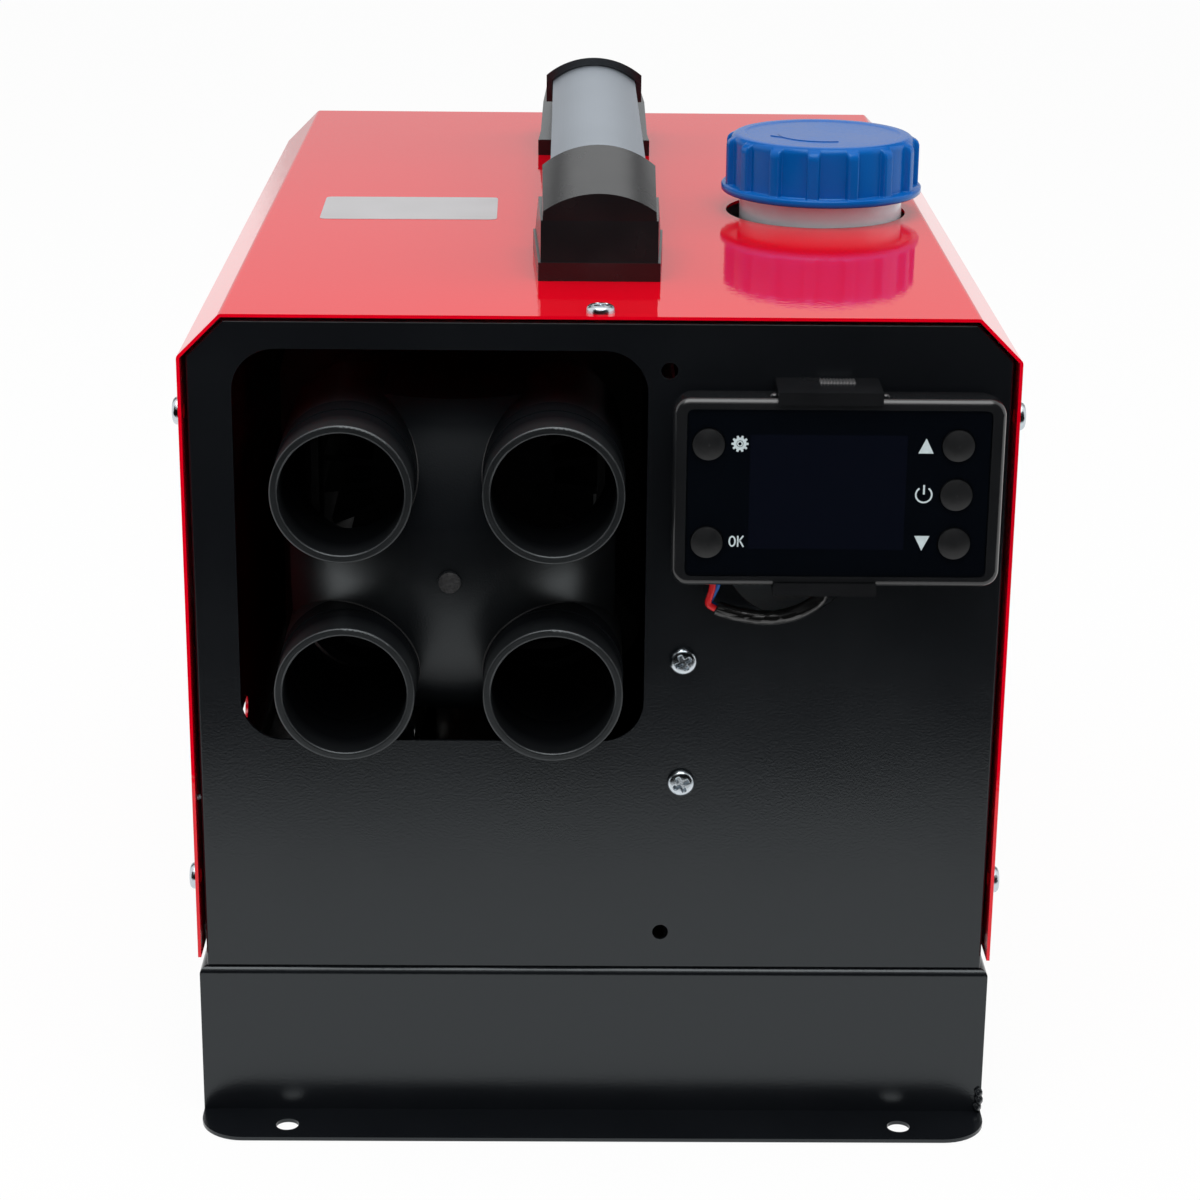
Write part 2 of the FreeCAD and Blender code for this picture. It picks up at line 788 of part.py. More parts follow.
def cover():
    """Wrap-round cover with bevelled shoulders, filler hole, handle holes and side vents."""
    body = new_body("cover")
    low, wall, chamfer = d.base_height + d.cover_gap, d.cover_gauge, d.cover_chamfer
    bevel = wall * (math.sqrt(2) - 1)
    top, inside = d.case_height, half_case - wall
    add(body, "XZ", front, d.case_depth,
        outline((-half_case, low), (-inside, low), (-inside, top - chamfer - bevel),
                (chamfer + bevel - half_case, top - wall), (half_case - chamfer - bevel, top - wall),
                (inside, top - chamfer - bevel), (inside, low), (half_case, low),
                (half_case, top - chamfer), (half_case - chamfer, top),
                (chamfer - half_case, top), (-half_case, top - chamfer)))
    soften(body, d.cover_bend, lambda middle, span: span.YLength > float(d.case_depth) - TOUCH and (
        (near(abs(middle.x), half_case) and near(middle.z, top - chamfer))
        or (near(abs(middle.x), half_case - chamfer) and near(middle.z, top))))
    screw_y = rear - d.screw_setback
    filler = circle(d.filler_x + d.filler_shift_x, d.filler_y + d.filler_shift_y, d.filler_hole_radius)
    cut(body, "XY", top - wall - d.overrun, wall + d.overrun * 2, filler,
        circle(0, screw_y, screw_hole), circle(0, -screw_y, screw_hole),
        *[circle(0, y, screw_hole) for y in handle_screw_places()])
    for x in (inside - d.overrun, -half_case - d.overrun):
        cut(body, "YZ", x, wall + d.overrun * 2,
            *[circle(screw_y * side, z, screw_hole) for side in (1, -1)
              for z in (side_screw_low, side_screw_high)])
    half, round_end = d.vent_length / 2, d.vent_width / 2
    for row in range(VENT_COUNT):
        z = d.base_height + d.vent_lift + d.vent_pitch * row
        straight = half - round_end
        cut(body, "YZ", -half_case - d.overrun, wall + d.overrun * 2,
            outline((d.vent_y - straight, z - round_end), (d.vent_y + straight, z - round_end, round_end),
                    (d.vent_y + half, z, round_end), (d.vent_y + straight, z + round_end),
                    (d.vent_y - straight, z + round_end, round_end), (d.vent_y - half, z, round_end)))
    return body


# Screws

def screw_form(label, length):
    """A domed-head screw that stands on its head's underside, shank down."""
    body = new_body(label)
    head, rise = d.screw_head, d.screw_rise
    bow = (head * head + rise * rise) / (rise * 2)
    turn(body, "XZ", (0, -length), (d.screw_shank, -length), (d.screw_shank, 0), (head, 0, bow),
         (0, rise))
    return body


def upright(axis):
    """The turn that points a screw's head along an axis."""
    return FreeCAD.Rotation(Vector(0, 0, 1), Vector(*axis))


def cover_screws(screw):
    """Screws that hold the cover to the returns of both end panels."""
    y = rear - d.screw_setback
    places = [((0, y * side, d.case_height), upright((0, 0, 1))) for side in (1, -1)]
    places += [((half_case * x, y * side, z), upright((x, 0, 0))) for x in (1, -1) for side in (1, -1)
               for z in (side_screw_low, side_screw_high)]
    return group("cover_screws", screw, places)


def panel_screws(screw):
    """The two screws on the front that hold the heat shield's tab."""
    places = [((d.panel_screw_x, panel_front, z), upright((0, -1, 0)))
              for z in (d.panel_screw_low, d.panel_screw_high)]
    return group("panel_screws", screw, places)


def floor_screws(screw):
    """Screws that hold the heater bracket's feet to the floor."""
    z = d.base_height + d.bracket_gauge
    return group("floor_screws", screw, [((x, y, z), upright((0, 0, 1)))
                                         for x, y in floor_screw_places()])


def handle_screw_places():
    """Distances along the case of the screws under the handle's two mounts."""
    place = d.handle_length / 2 - d.handle_screw_inset
    return [-place, place]


def handle_screws(screw):
    """Screws that come up through the cover into the handle's mounts."""
    under = d.case_height - d.cover_gauge
    return group("handle_screws", screw, [((0, y, under), upright((0, 0, -1)))
                                          for y in handle_screw_places()])


# Carrying handle

def handle_mount(label, side):
    """A moulded handle end: plinth, drafted leg and an arched sleeve that holds the grip."""
    body = new_body(label, 0, -(d.handle_length / 2) * side, d.case_height)
    if side < 0:
        body.Placement.Rotation = FreeCAD.Rotation(Vector(0, 0, 1), FULL_TURN / 2)
    lean, length, plinth = d.mount_lean, d.mount_length, d.plinth_height
    outer, inner = d.mount_outer / 2, d.mount_inner / 2
    add(body, "XY", 0, plinth, outline((-outer, 0), (outer, 0), (inner, length), (-inner, length)))
    step, leg = d.plinth_step, d.leg_width / 2
    foot = draw(body, "XY", plinth, outline((step - outer, step), (outer - step, step),
                                            (inner - step, length - step), (step - inner, length - step)))
    knee = draw(body, "XY", d.leg_height, outline((step - outer, lean), (outer - step, lean),
                                                  (leg, d.sleeve_length), (-leg, d.sleeve_length)))
    loft(body, [foot, knee])
    face = draw(body, "XZ", lean, arch(outer - step, d.face_width / 2, plinth, d.face_shoulder,
                                       d.face_crown))
    edge = draw(body, "XZ", d.sleeve_length, arch(d.sleeve_width / 2, d.sleeve_width / 2, plinth,
                                                  d.sleeve_shoulder, d.sleeve_crown))
    loft(body, [face, edge])
    half = d.grip_width / 2 + d.grip_clearance
    low = d.grip_top - d.grip_crown - d.grip_height - d.grip_clearance
    shoulder = d.grip_top - d.grip_crown + d.grip_clearance
    start = d.sleeve_length - d.grip_socket
    cut(body, "XZ", start, length, arch(half, half, low, shoulder, d.grip_crown))
    cut(body, "XY", -d.overrun, d.handle_screw_depth + d.overrun,
        circle(0, d.handle_screw_inset, screw_hole))
    return body


def handle_grip():
    """Arched aluminium extrusion that spans the two mounts."""
    half_length = d.handle_length / 2 - d.sleeve_length + d.grip_socket - d.grip_clearance
    body = new_body("handle_grip", 0, 0, d.case_height)
    half, wall = d.grip_width / 2, d.grip_wall
    shoulder = d.grip_top - d.grip_crown
    low = shoulder - d.grip_height
    inner_crown = d.grip_crown * ((half - wall) / half)
    add(body, "XZ", -half_length, half_length * 2,
        arch(half, half, low, shoulder, d.grip_crown),
        arch(half - wall, half - wall, low + wall, shoulder - wall + d.grip_crown - inner_crown,
             inner_crown))
    return body


# Four-outlet hood

def outlet_places():
    """The four outlets' places about the hood's axis."""
    pitch = d.outlet_pitch / 2
    return [(pitch * x, pitch * z) for x in (1, -1) for z in (1, -1)]


def hood_form(label, inset, bore, open_end):
    """The hood's outer form, or with an inset the hollow inside it."""
    body = new_body(label, d.hood_x, front, d.hood_z)
    half, corner, radius = d.hood_half - inset, d.hood_corner - inset, d.dome_radius - inset
    nose = inset - d.dome_reach
    add(body, "XZ", -d.outlet_reach, d.outlet_reach + d.hood_depth + open_end,
        box(-half, half, -half, half, corner))
    centre = nose + radius
    depth = (radius * radius - half * half).root()
    outside = half * 2
    flare = (outside - half) * half / depth
    ahead = -d.outlet_reach - d.overrun
    turn(body, "YZ", (nose, 0, -radius), (centre - depth, half), (centre - depth + flare, outside),
         (ahead, outside), (ahead, 0), groove=True)
    root = d.outlet_free + d.outlet_seat - d.outlet_reach - open_end
    add(body, "XZ", root, centre - root, *[circle(x, z, bore) for x, z in outlet_places()])
    return body


def outlet_hood():
    """Moulded hood: a domed face on a rounded square skirt, with a seat for each collar."""
    form = hood_form("hood_outside", sized(0), d.outlet_radius + d.outlet_shoulder, sized(0))
    add(form, "XZ", -d.dome_reach - d.gate_rise, d.gate_rise + d.hood_wall, circle(0, 0, d.gate_radius))
    seat = d.outlet_radius + d.outlet_shoulder + d.outlet_fit
    cut(form, "XZ", -d.outlet_reach - d.overrun, d.outlet_free + d.outlet_seat + d.overrun,
        *[circle(x, z, seat) for x, z in outlet_places()])
    inside = hood_form("hood_inside", d.hood_wall, d.outlet_radius - d.outlet_wall, d.overrun)
    return hollowed("outlet_hood", form, inside)


def outlet_collars():
    """The hood's four collars, on which the warm-air hoses are pushed."""
    body = new_body("collar_form")
    bore = circle(0, 0, d.outlet_radius - d.outlet_wall)
    add(body, "XZ", 0, d.outlet_free, circle(0, 0, d.outlet_radius), bore)
    add(body, "XZ", d.outlet_free, d.outlet_seat, circle(0, 0, d.outlet_radius + d.outlet_shoulder), bore)
    soften(body, d.outlet_lip, lambda middle, span: near(middle.y, 0) and span.YLength < TOUCH)
    rim, straight = front - d.outlet_reach, FreeCAD.Rotation()
    places = [((d.hood_x + x, rim, d.hood_z + z), straight) for x, z in outlet_places()]
    return group("outlet_collars", body, places)


# Heater shells

def shell_form(label, height, corner):
    """Half of the heater's jacket: a long hump that tapers to a nose for the hood."""
    body = new_body(label, d.hood_x, 0, d.hood_z)
    half, wall = d.shell_half, d.shell_wall
    nose_wall = nose_half - wall
    taper_front = shell_start - d.shell_taper
    add(body, "XZ", shell_start, shell_end - shell_start, hump(half, 0, height, corner))
    loft(body, [draw(body, "XZ", shell_start, hump(half, 0, height, corner)),
                draw(body, "XZ", taper_front, hump(nose_half, 0, nose_half, nose_corner))])
    add(body, "XZ", nose_front, taper_front - nose_front, hump(nose_half, 0, nose_half, nose_corner))
    under = -d.overrun
    inner = hump(half - wall, under, height - wall, corner - wall)
    nose = hump(nose_wall, under, nose_wall, nose_corner - wall)
    cut(body, "XZ", shell_start, shell_end - shell_start + d.overrun, inner)
    loft(body, [draw(body, "XZ", shell_start, inner), draw(body, "XZ", taper_front, nose)], hollow=True)
    cut(body, "XZ", nose_front - d.overrun, taper_front - nose_front + d.overrun, nose)
    return body


def heater_upper_shell():
    """Upper jacket, with four posts inside for the control board."""
    body = shell_form("heater_upper_shell", d.shell_rise, d.shell_corner)
    x, y = d.board_width / 2 - d.board_post_inset, d.board_length / 2 - d.board_post_inset
    middle = board_middle()
    ceiling = d.shell_rise - d.shell_wall
    add(body, "XY", ceiling - d.board_drop, d.board_drop + d.shell_wall / 2,
        *[circle(x * i, middle + y * j, d.board_post) for i in (1, -1) for j in (1, -1)])
    return body


def heater_lower_shell():
    """Lower jacket, turned over, with a window for the pedestal and a hole for the fuel line."""
    body = shell_form("heater_lower_shell", d.shell_drop, d.shell_foot_corner)
    body.Placement.Rotation = FreeCAD.Rotation(Vector(0, 1, 0), FULL_TURN / 2)
    half, length, gap = d.pedestal_width / 2, d.pedestal_length / 2, d.seat_clearance
    cut(body, "XY", d.shell_drop - d.shell_wall - d.overrun, d.shell_wall + d.overrun * 2,
        box(-half - gap, half + gap, -length - gap, length + gap),
        circle(0, fuel_inlet_y(), d.fuel_line_radius + d.seat_clearance))
    return body


def board_middle():
    """Where the control board's middle lies along the heater."""
    return (housing_end + motor_end) / 2


def fuel_inlet_y():
    """Where the fuel line comes up into the combustion housing."""
    return housing_front + d.burner_inlet_y


# Heater insides, turned and cast about the heater's axis

def on_axis(label):
    """A body whose own Y axis is the heater's axis."""
    return new_body(label, d.hood_x, 0, d.hood_z)


def heat_exchanger():
    """Cast finned cup on a pedestal that carries the pipes and studs."""
    body = on_axis("heat_exchanger")
    start, length = d.exchanger_front, d.exchanger_length
    add(body, "XZ", start, length, circle(0, 0, d.core_radius))
    half_fin = d.fin_gauge / 2
    root = d.core_radius - d.fin_gauge
    fin = add(body, "XZ", start, length, box(-half_fin, half_fin, root, d.fin_radius))
    repeat(body, fin, FIN_COUNT)
    half, half_length = d.pedestal_width / 2, d.pedestal_length / 2
    add(body, "XY", -pedestal_bottom, pedestal_bottom - root, box(-half, half, -half_length, half_length))
    add(body, "XY", -pedestal_bottom - d.stud_length, d.stud_length,
        *[circle(d.stud_x * x, d.stud_y * y, d.stud_radius) for x in (1, -1) for y in (1, -1)])
    cut(body, "XZ", start + d.core_end, length - d.core_end + d.overrun, circle(0, 0, d.core_bore))
    cut(body, "XY", -pedestal_bottom - d.overrun, pedestal_bottom + d.overrun - d.core_radius / 2,
        circle(0, -d.pipe_y, d.pipe_port), circle(0, d.pipe_y, d.pipe_port))
    return body


def burner_tube():
    """Steel flame tube on a flange, with rings of air holes."""
    body = on_axis("burner_tube")
    flange, radius, wall = exchanger_end + d.burner_flange_gauge, d.burner_radius, d.burner_wall
    tip = exchanger_end - d.burner_length
    turn(body, "YZ", (tip, radius - wall), (flange, radius - wall), (flange, d.burner_flange),
         (exchanger_end, d.burner_flange), (exchanger_end, radius), (tip, radius))
    hole = cut(body, "XY", 0, radius + d.overrun, circle(0, tip + d.burner_length / 2, d.burner_hole))
    repeat(body, hole, BURNER_HOLE_COUNT)
    return body


def combustion_housing():
    """Cast housing round the combustion impeller, closed by the motor's plate."""
    body = on_axis("combustion_housing")
    outer, wall = d.housing_radius, d.housing_wall
    inner, shaft = outer - wall, d.bearing_radius
    turn(body, "YZ", (housing_front, d.burner_radius), (housing_front + wall, d.burner_radius),
         (housing_front + wall, inner), (housing_end - wall, inner), (housing_end - wall, shaft),
         (housing_end, shaft), (housing_end, outer), (housing_front, outer))
    cut(body, "XY", inner - wall, wall * 2 + d.overrun,
        circle(d.glow_x, glow_y(), d.glow_radius + d.bearing_fit))
    return body


def glow_y():
    """Where the glow plug enters the housing along the heater."""
    return housing_front + d.housing_length / 2


def glow_plug():
    """Ceramic-tipped glow plug with a hexagon, set in the housing's roof."""
    inner = d.housing_radius - d.housing_wall
    seat = d.housing_radius
    body = new_body("glow_plug", d.hood_x + d.glow_x, glow_y(), d.hood_z)
    radius, tip = d.glow_radius, d.glow_radius / 2
    low = inner - d.impeller_gap / 2
    turn(body, "XZ", (0, low), (tip, low), (radius, low + tip), (radius, seat),
         (radius + tip, seat), (radius + tip, seat + radius), (tip, seat + radius),
         (tip, low + d.glow_length), (0, low + d.glow_length))
    return body


def motor_can():
    """Deep-drawn motor can with a bearing bore in each end."""
    body = on_axis("motor_can")
    outer, wall, bore = d.motor_radius, d.motor_wall, d.bearing_radius + d.bearing_fit
    width = d.bearing_width
    boss = bore + wall
    turn(body, "YZ", (housing_end, bore), (housing_end + width, bore), (housing_end + width, boss),
         (housing_end + wall, boss), (housing_end + wall, outer - wall), (motor_end - wall, outer - wall),
         (motor_end - wall, boss), (motor_end - width, boss), (motor_end - width, bore),
         (motor_end, bore),
         (motor_end, outer), (housing_end, outer))
    return body


def motor_bearings():
    """The motor's two bearings, as one node."""
    body = on_axis("bearing_form")
    bore, width = d.shaft_radius + d.shaft_fit, d.bearing_width
    turn(body, "YZ", (0, bore), (width, bore), (width, d.bearing_radius), (0, d.bearing_radius))
    straight = FreeCAD.Rotation()
    places = [((d.hood_x, y, d.hood_z), straight) for y in (housing_end, motor_end - width)]
    return group("motor_bearings", body, places)


def rotor_shaft():
    """Motor shaft that carries both wheels."""
    body = on_axis("rotor_shaft")
    start = impeller_front() + d.impeller_plate
    add(body, "XZ", start, blower_end - d.blade_gauge - start, circle(0, 0, d.shaft_radius))
    return body


def impeller_front():
    """Where the combustion impeller starts along the heater."""
    return housing_end - d.housing_wall - d.impeller_gap - d.impeller_length


def combustion_impeller():
    """Small radial wheel that feeds the burner with air."""
    body = on_axis("combustion_impeller")
    start, plate = impeller_front(), d.impeller_plate
    end = start + d.impeller_length
    bore = d.shaft_radius + d.shaft_fit
    turn(body, "YZ", (start, 0), (start + plate, 0), (start + plate, bore), (end, bore),
         (end, d.impeller_hub),
         (end - plate, d.impeller_hub), (end - plate, d.impeller_radius),
         (end - plate * 2, d.impeller_radius),
         (end - plate * 2, d.impeller_hub), (start, d.impeller_hub))
    half = d.impeller_vane / 2
    vane = add(body, "XZ", start + plate, d.impeller_length - plate * 3,
               box(-half, half, d.impeller_hub - d.impeller_vane, d.impeller_radius - d.impeller_vane))
    repeat(body, vane, VANE_COUNT)
    return body


def blower_wheel():
    """Warm-air fan: a domed hub with swept, twisted blades."""
    body = on_axis("blower_wheel")
    start, end, hub, wall = blower_front, blower_end, d.blower_hub, d.blade_gauge
    bore = d.shaft_radius + d.shaft_fit
    bow = (hub * hub + wall * wall * 4) / (wall * 4)
    turn(body, "YZ", (start, bore), (end - wall, bore), (end - wall, 0), (end, 0, bow),
         (end - wall * 2, hub), (start, hub))
    length, gauge, sweep = d.blower_length, d.blade_gauge, d.blade_sweep
    middle = start + length / 2
    reach_share, tip_share = 0.42, 0.30
    root = draw(body, "XY", hub - wall,
                outline((-sweep / 2, middle - length * reach_share),
                        (gauge - sweep / 2, middle - length * reach_share),
                        (gauge + sweep / 2, middle + length * reach_share),
                        (sweep / 2, middle + length * reach_share)))
    tip = draw(body, "XY", d.blower_radius,
               outline((-sweep * 2, middle - length * tip_share),
                       (gauge / 2 - sweep * 2, middle - length * tip_share),
                       (gauge / 2 + sweep, middle + length * tip_share),
                       (sweep, middle + length * tip_share)))
    blade = loft(body, [root, tip])
    repeat(body, blade, BLADE_COUNT)
    return body


def intake_grille():
    """Grille that closes the jacket's rear end: a plate with rings and spokes."""
    body = on_axis("intake_grille")
    half, gauge, bar = d.shell_half, d.grille_gauge, d.grille_bar
    corner = d.shell_foot_corner
    mouth = d.intake_radius - bar
    add(body, "XZ", shell_end, gauge, box(-half, half, -d.shell_drop, d.shell_rise, corner),
        circle(0, 0, mouth))
    add(body, "XZ", shell_end, shell_mouth(), circle(0, 0, d.intake_radius - d.seat_clearance),
        circle(0, 0, mouth))
    spoke = add(body, "XZ", shell_end, gauge, box(-bar / 2, bar / 2, -mouth - bar / 2, mouth + bar / 2))
    repeat(body, spoke, GRILLE_BAR_COUNT * 2)
    step = mouth / (GRILLE_RING_COUNT + 1)
    for ring in range(1, GRILLE_RING_COUNT + 1):
        radius = step * ring
        add(body, "XZ", shell_end, gauge, circle(0, 0, radius + bar / 2), circle(0, 0, radius - bar / 2))
    return body


def shell_mouth():
    """How far the grille's mouth reaches back, to the rear panel's outer face."""
    return d.shell_rear_gap + d.sheet_gauge


def overheat_sensor():
    """Clip-on sensor that sits on the exchanger's top fin."""
    body = on_axis("overheat_sensor")
    half, middle = d.sensor_width / 2, d.exchanger_front + d.sensor_length
    leg = d.fin_gauge / 2 + d.seat_clearance
    low = d.fin_radius - d.sensor_height
    add(body, "XY", low, d.sensor_height * 2, box(-half / 2, half / 2, middle, middle + d.sensor_length))
    cut(body, "XY", low - d.overrun, d.sensor_height + d.overrun,
        box(-leg, leg, middle - d.overrun, middle + d.sensor_length + d.overrun))
    return body


def control_board():
    """Heater control board with its chips, hung from the upper jacket's posts."""
    body = on_axis("control_board")
    half, length, middle = d.board_width / 2, d.board_length / 2, board_middle()
    top = d.shell_rise - d.shell_wall - d.board_drop
    add(body, "XY", top - d.board_gauge, d.board_gauge,
        box(-half, half, middle - length, middle + length))
    third = d.board_length / 3
    low = top - d.board_gauge - d.part_height
    add(body, "XY", low, d.part_height, box(-half / 2, half / 2, middle - third, middle),
        circle(half / 2, middle + third / 2, d.part_height),
        circle(-half / 2, middle + third / 2, d.part_height))
    return body


def mount_gasket():
    """Rubber gasket between the heater and its bracket."""
    body = new_body("mount_gasket", d.hood_x, 0, bracket_top)
    half, length = d.pedestal_width / 2 + d.gasket_margin, d.pedestal_length / 2 + d.gasket_margin
    add(body, "XY", 0, d.gasket_gauge, box(-half, half, -length, length, d.gasket_margin * 2),
        circle(0, -d.pipe_y, d.exhaust_radius + d.pipe_clearance),
        circle(0, d.pipe_y, d.air_radius + d.pipe_clearance),
        *stud_holes())
    return body


def stud_holes():
    """Clearance holes for the four studs."""
    radius = d.stud_radius + d.screw_clearance
    return [circle(d.stud_x * x, d.stud_y * y, radius) for x in (1, -1) for y in (1, -1)]


def pipe(label, y, radius):
    """A pipe that drops from the pedestal, through the floor, into the hollow base."""
    top = d.hood_z - pedestal_bottom
    body = new_body(label, d.hood_x, y, 0)
    add(body, "XY", d.pipe_end, top - d.pipe_end, circle(0, 0, radius),
        circle(0, 0, radius - d.pipe_wall))
    return body


def heater_bracket():
    """Folded hat-section bracket that lifts the heater above the floor."""
    body = new_body("heater_bracket", d.hood_x, 0, 0)
    half, foot, wall = d.bracket_half, d.bracket_foot, d.bracket_gauge
    low, top = d.base_height, bracket_top
    start = -(d.bracket_length / 2)
    add(body, "XZ", start, d.bracket_length,
        outline((-half - foot, low), (wall - half, low), (wall - half, top - wall),
                (half - wall, top - wall),
                (half - wall, low), (half + foot, low), (half + foot, low + wall), (half, low + wall),
                (half, top), (-half, top), (-half, low + wall), (-half - foot, low + wall)))
    cut(body, "XY", top - wall - d.overrun, wall + d.overrun * 2,
        circle(0, -d.pipe_y, d.exhaust_radius + d.pipe_clearance),
        circle(0, d.pipe_y, d.air_radius + d.pipe_clearance),
        *stud_holes())
    cut(body, "XY", low - d.overrun, wall + d.overrun * 2,
        *[circle(x - d.hood_x, y, screw_hole) for x, y in floor_screw_places()])
    return body


def mount_nuts():
    """Four nuts that pull the heater's studs down on the bracket."""
    body = new_body("nut_form")
    corner = d.nut_flat / math.sqrt(3)
    corners = [(corner * math.cos(math.pi * step / 3), corner * math.sin(math.pi * step / 3))
               for step in range(6)]
    add(body, "XY", 0, d.nut_height, outline(*corners), circle(0, 0, d.stud_radius + d.nut_clearance))
    z = bracket_top - d.bracket_gauge - d.nut_height
    straight = FreeCAD.Rotation()
    places = [((d.hood_x + d.stud_x * x, d.stud_y * y, z), straight) for x in (1, -1) for y in (1, -1)]
    return group("mount_nuts", body, places)


# Heat shield, tank and cap

def heat_shield():
    """Sheet between heater and tank, with a tab screwed to the front panel."""
    body = new_body("heat_shield")
    x, wall = d.shield_x, d.shield_gauge
    low = d.base_height + d.sheet_gauge + d.shield_lift
    tab_low, tab_high = d.panel_screw_low - d.shield_tab_margin, d.panel_screw_high + d.shield_tab_margin
    start = panel_front + d.panel_return + d.shield_lift
    add(body, "YZ", x, wall, box(start, d.shield_back, low, shield_top))
    add(body, "YZ", x, wall, box(panel_back, start + wall, tab_low, tab_high))
    add(body, "XZ", panel_back, wall, box(x, x + d.shield_flange, tab_low, tab_high))
    cut(body, "XZ", panel_back - d.overrun, wall + d.overrun * 2,
        *[circle(d.panel_screw_x, z, screw_hole) for z in (d.panel_screw_low, d.panel_screw_high)])
    cut(body, "YZ", x - d.overrun, wall + d.overrun * 2,
        circle(d.fitting_y, fuel_z, d.fitting_radius + d.floor_clearance))
    return body


def tank_form(label, inset, overrun):
    """The tank's outer form, or with an inset the space inside it."""
    body = new_body(label)
    low, high = d.base_height + inset, tank_top - inset
    corner = d.tank_corner - inset
    add(body, "XY", low, high - low, box(tank_left + inset, tank_right - inset, d.tank_front + inset,
                                         d.tank_back - inset, corner))
    soften(body, corner / 2, lambda middle, span: span.ZLength < TOUCH)
    neck = d.neck_radius - inset / d.tank_wall * d.neck_wall
    start = high - d.tank_corner
    add(body, "XY", start, neck_top + overrun - start, circle(d.filler_x, d.filler_y, neck))
    return body


def fuel_tank():
    """Blow-moulded tank with a wide filler neck and an outlet hole low in its side."""
    body = tank_form("tank_outside", sized(0), sized(0))
    inside = tank_form("tank_inside", d.tank_wall, d.overrun)
    outlet = new_body("tank_outlet")
    add(outlet, "YZ", tank_left - d.overrun, d.tank_wall + d.overrun * 2,
        circle(d.fitting_y, fuel_z, d.fuel_line_radius + d.bearing_fit))
    return hollowed("fuel_tank", body, inside, outlet)


def fuel_cap():
    """Screw cap: a ribbed skirt over a lower ring, with a rounded flat top."""
    body = new_body("fuel_cap", d.filler_x, d.filler_y, 0)
    low, top, edge = cap_bottom, cap_bottom + d.cap_height, d.cap_edge
    outer, ring = d.cap_radius, d.cap_ring_radius
    inner = d.neck_radius + d.cap_clearance
    ring_top = low + d.cap_ring_height
    turn(body, "XZ", (inner, low), (ring, low), (ring, ring_top), (outer, ring_top),
         (outer, top - edge, edge),
         (outer - edge, top), (0, top), (0, cap_inside_top), (inner, cap_inside_top))
    half = d.cap_rib_width / 2
    rib = add(body, "XY", ring_top - edge / 2, d.cap_height - d.cap_ring_height - edge * 2,
              outline((outer - edge, -half), (outer + d.cap_rib_reach - half, -half, half),
                      (outer + d.cap_rib_reach, 0, half), (outer + d.cap_rib_reach - half, half),
                      (outer - edge, half)))
    repeat(body, rib, CAP_RIB_COUNT, "Z")
    return body


def cap_seal():
    """Flat rubber ring between the cap and the neck."""
    body = new_body("cap_seal", d.filler_x, d.filler_y, neck_top + d.seal_gap)
    add(body, "XY", 0, d.seal_gauge, circle(0, 0, d.neck_radius),
        circle(0, 0, d.neck_radius - d.neck_wall * 2))
    return body


# Fuel supply

def fuel_fitting():
    """Outlet fitting, pushed into the tank's side."""
    body = new_body("fuel_fitting", tank_left, d.fitting_y, fuel_z)
    pipe_radius, flange, length = d.fuel_line_radius, d.fitting_flange, d.fitting_length
    inner = pipe_radius / 2
    turn(body, "XY", (-length, inner), (d.tank_wall, inner), (d.tank_wall, pipe_radius), (0, pipe_radius),
         (0, d.fitting_radius), (-flange, d.fitting_radius), (-flange, pipe_radius),
         (-length, pipe_radius))
    return body


def fuel_ends():
    """Distances along the case where the filter and the pump begin and end."""
    half_filter, half_pump = d.filter_length / 2, d.pump_length / 2 + d.pump_end_length
    return d.filter_y - half_filter, d.filter_y + half_filter, d.pump_y - half_pump, d.pump_y + half_pump


def fuel_filter():
    """In-line filter with a clear round body and drawn-in ends."""
    start, end, _, _ = fuel_ends()
    body = new_body("fuel_filter", fuel_x, 0, fuel_z)
    radius, neck = d.filter_radius, d.fuel_line_radius + d.seat_clearance
    turn(body, "YZ", (start, 0), (end, 0), (end, neck), (end - radius, neck),
         (end - radius - neck, radius),
         (start + radius + neck, radius), (start + radius, neck), (start, neck))
    return body


def fuel_pump():
    """Dosing pump: a round body with a stepped end at each side."""
    _, _, start, end = fuel_ends()
    body = new_body("fuel_pump", fuel_x, 0, fuel_z)
    step, neck, small = d.pump_end_length, d.pump_end_radius, d.fuel_line_radius + d.seat_clearance
    half = step / 2
    turn(body, "YZ", (start, 0), (end, 0), (end, small), (end - half, small), (end - half, neck),
         (end - step, neck),
         (end - step, d.pump_radius), (start + step, d.pump_radius), (start + step, neck),
         (start + half, neck),
         (start + half, small), (start, small))
    return body


def pump_clamp():
    """Rubber clamp round the pump, on a foot that stands on the floor."""
    body = new_body("pump_clamp", fuel_x, 0, fuel_z)
    width, wall = d.pump_clamp_width, d.pump_clamp_wall
    bore = d.pump_radius + d.bearing_fit
    start = d.pump_y - width / 2
    foot = d.base_height - fuel_z
    add(body, "XZ", start, width, circle(0, 0, bore + wall))
    add(body, "XZ", start, width, box(-bore, bore, foot, -bore))
    cut(body, "XZ", start - d.overrun, width + d.overrun * 2, circle(0, 0, bore))
    return body


def fuel_lines():
    """The three fuel lines: tank to filter, filter to pump and pump to burner."""
    filter_in, filter_out, pump_in, pump_out = fuel_ends()
    x, z, radius = fuel_x, fuel_z, d.fuel_line_radius
    fitting_end = tank_left - d.fitting_length
    inlet = fuel_inlet_y()
    supply = tube("fuel_line_supply", [(fitting_end, d.fitting_y, z), (x, d.fitting_y, z),
                                       (x, filter_in, z)], radius)
    link = tube("fuel_line_link", [(x, filter_out, z), (x, pump_in, z)], radius)
    feed = tube("fuel_line_feed", [(x, pump_out, z), (x, inlet, z), (d.hood_x, inlet, z),
                                   (d.hood_x, inlet, d.hood_z - d.housing_radius)], radius)
    return [supply, link, feed]


# Controller on the front panel

def on_face(label):
    """A body whose origin is the middle of the controller's front face."""
    return new_body(label, d.panel_unit_x, unit_face, d.panel_unit_z)


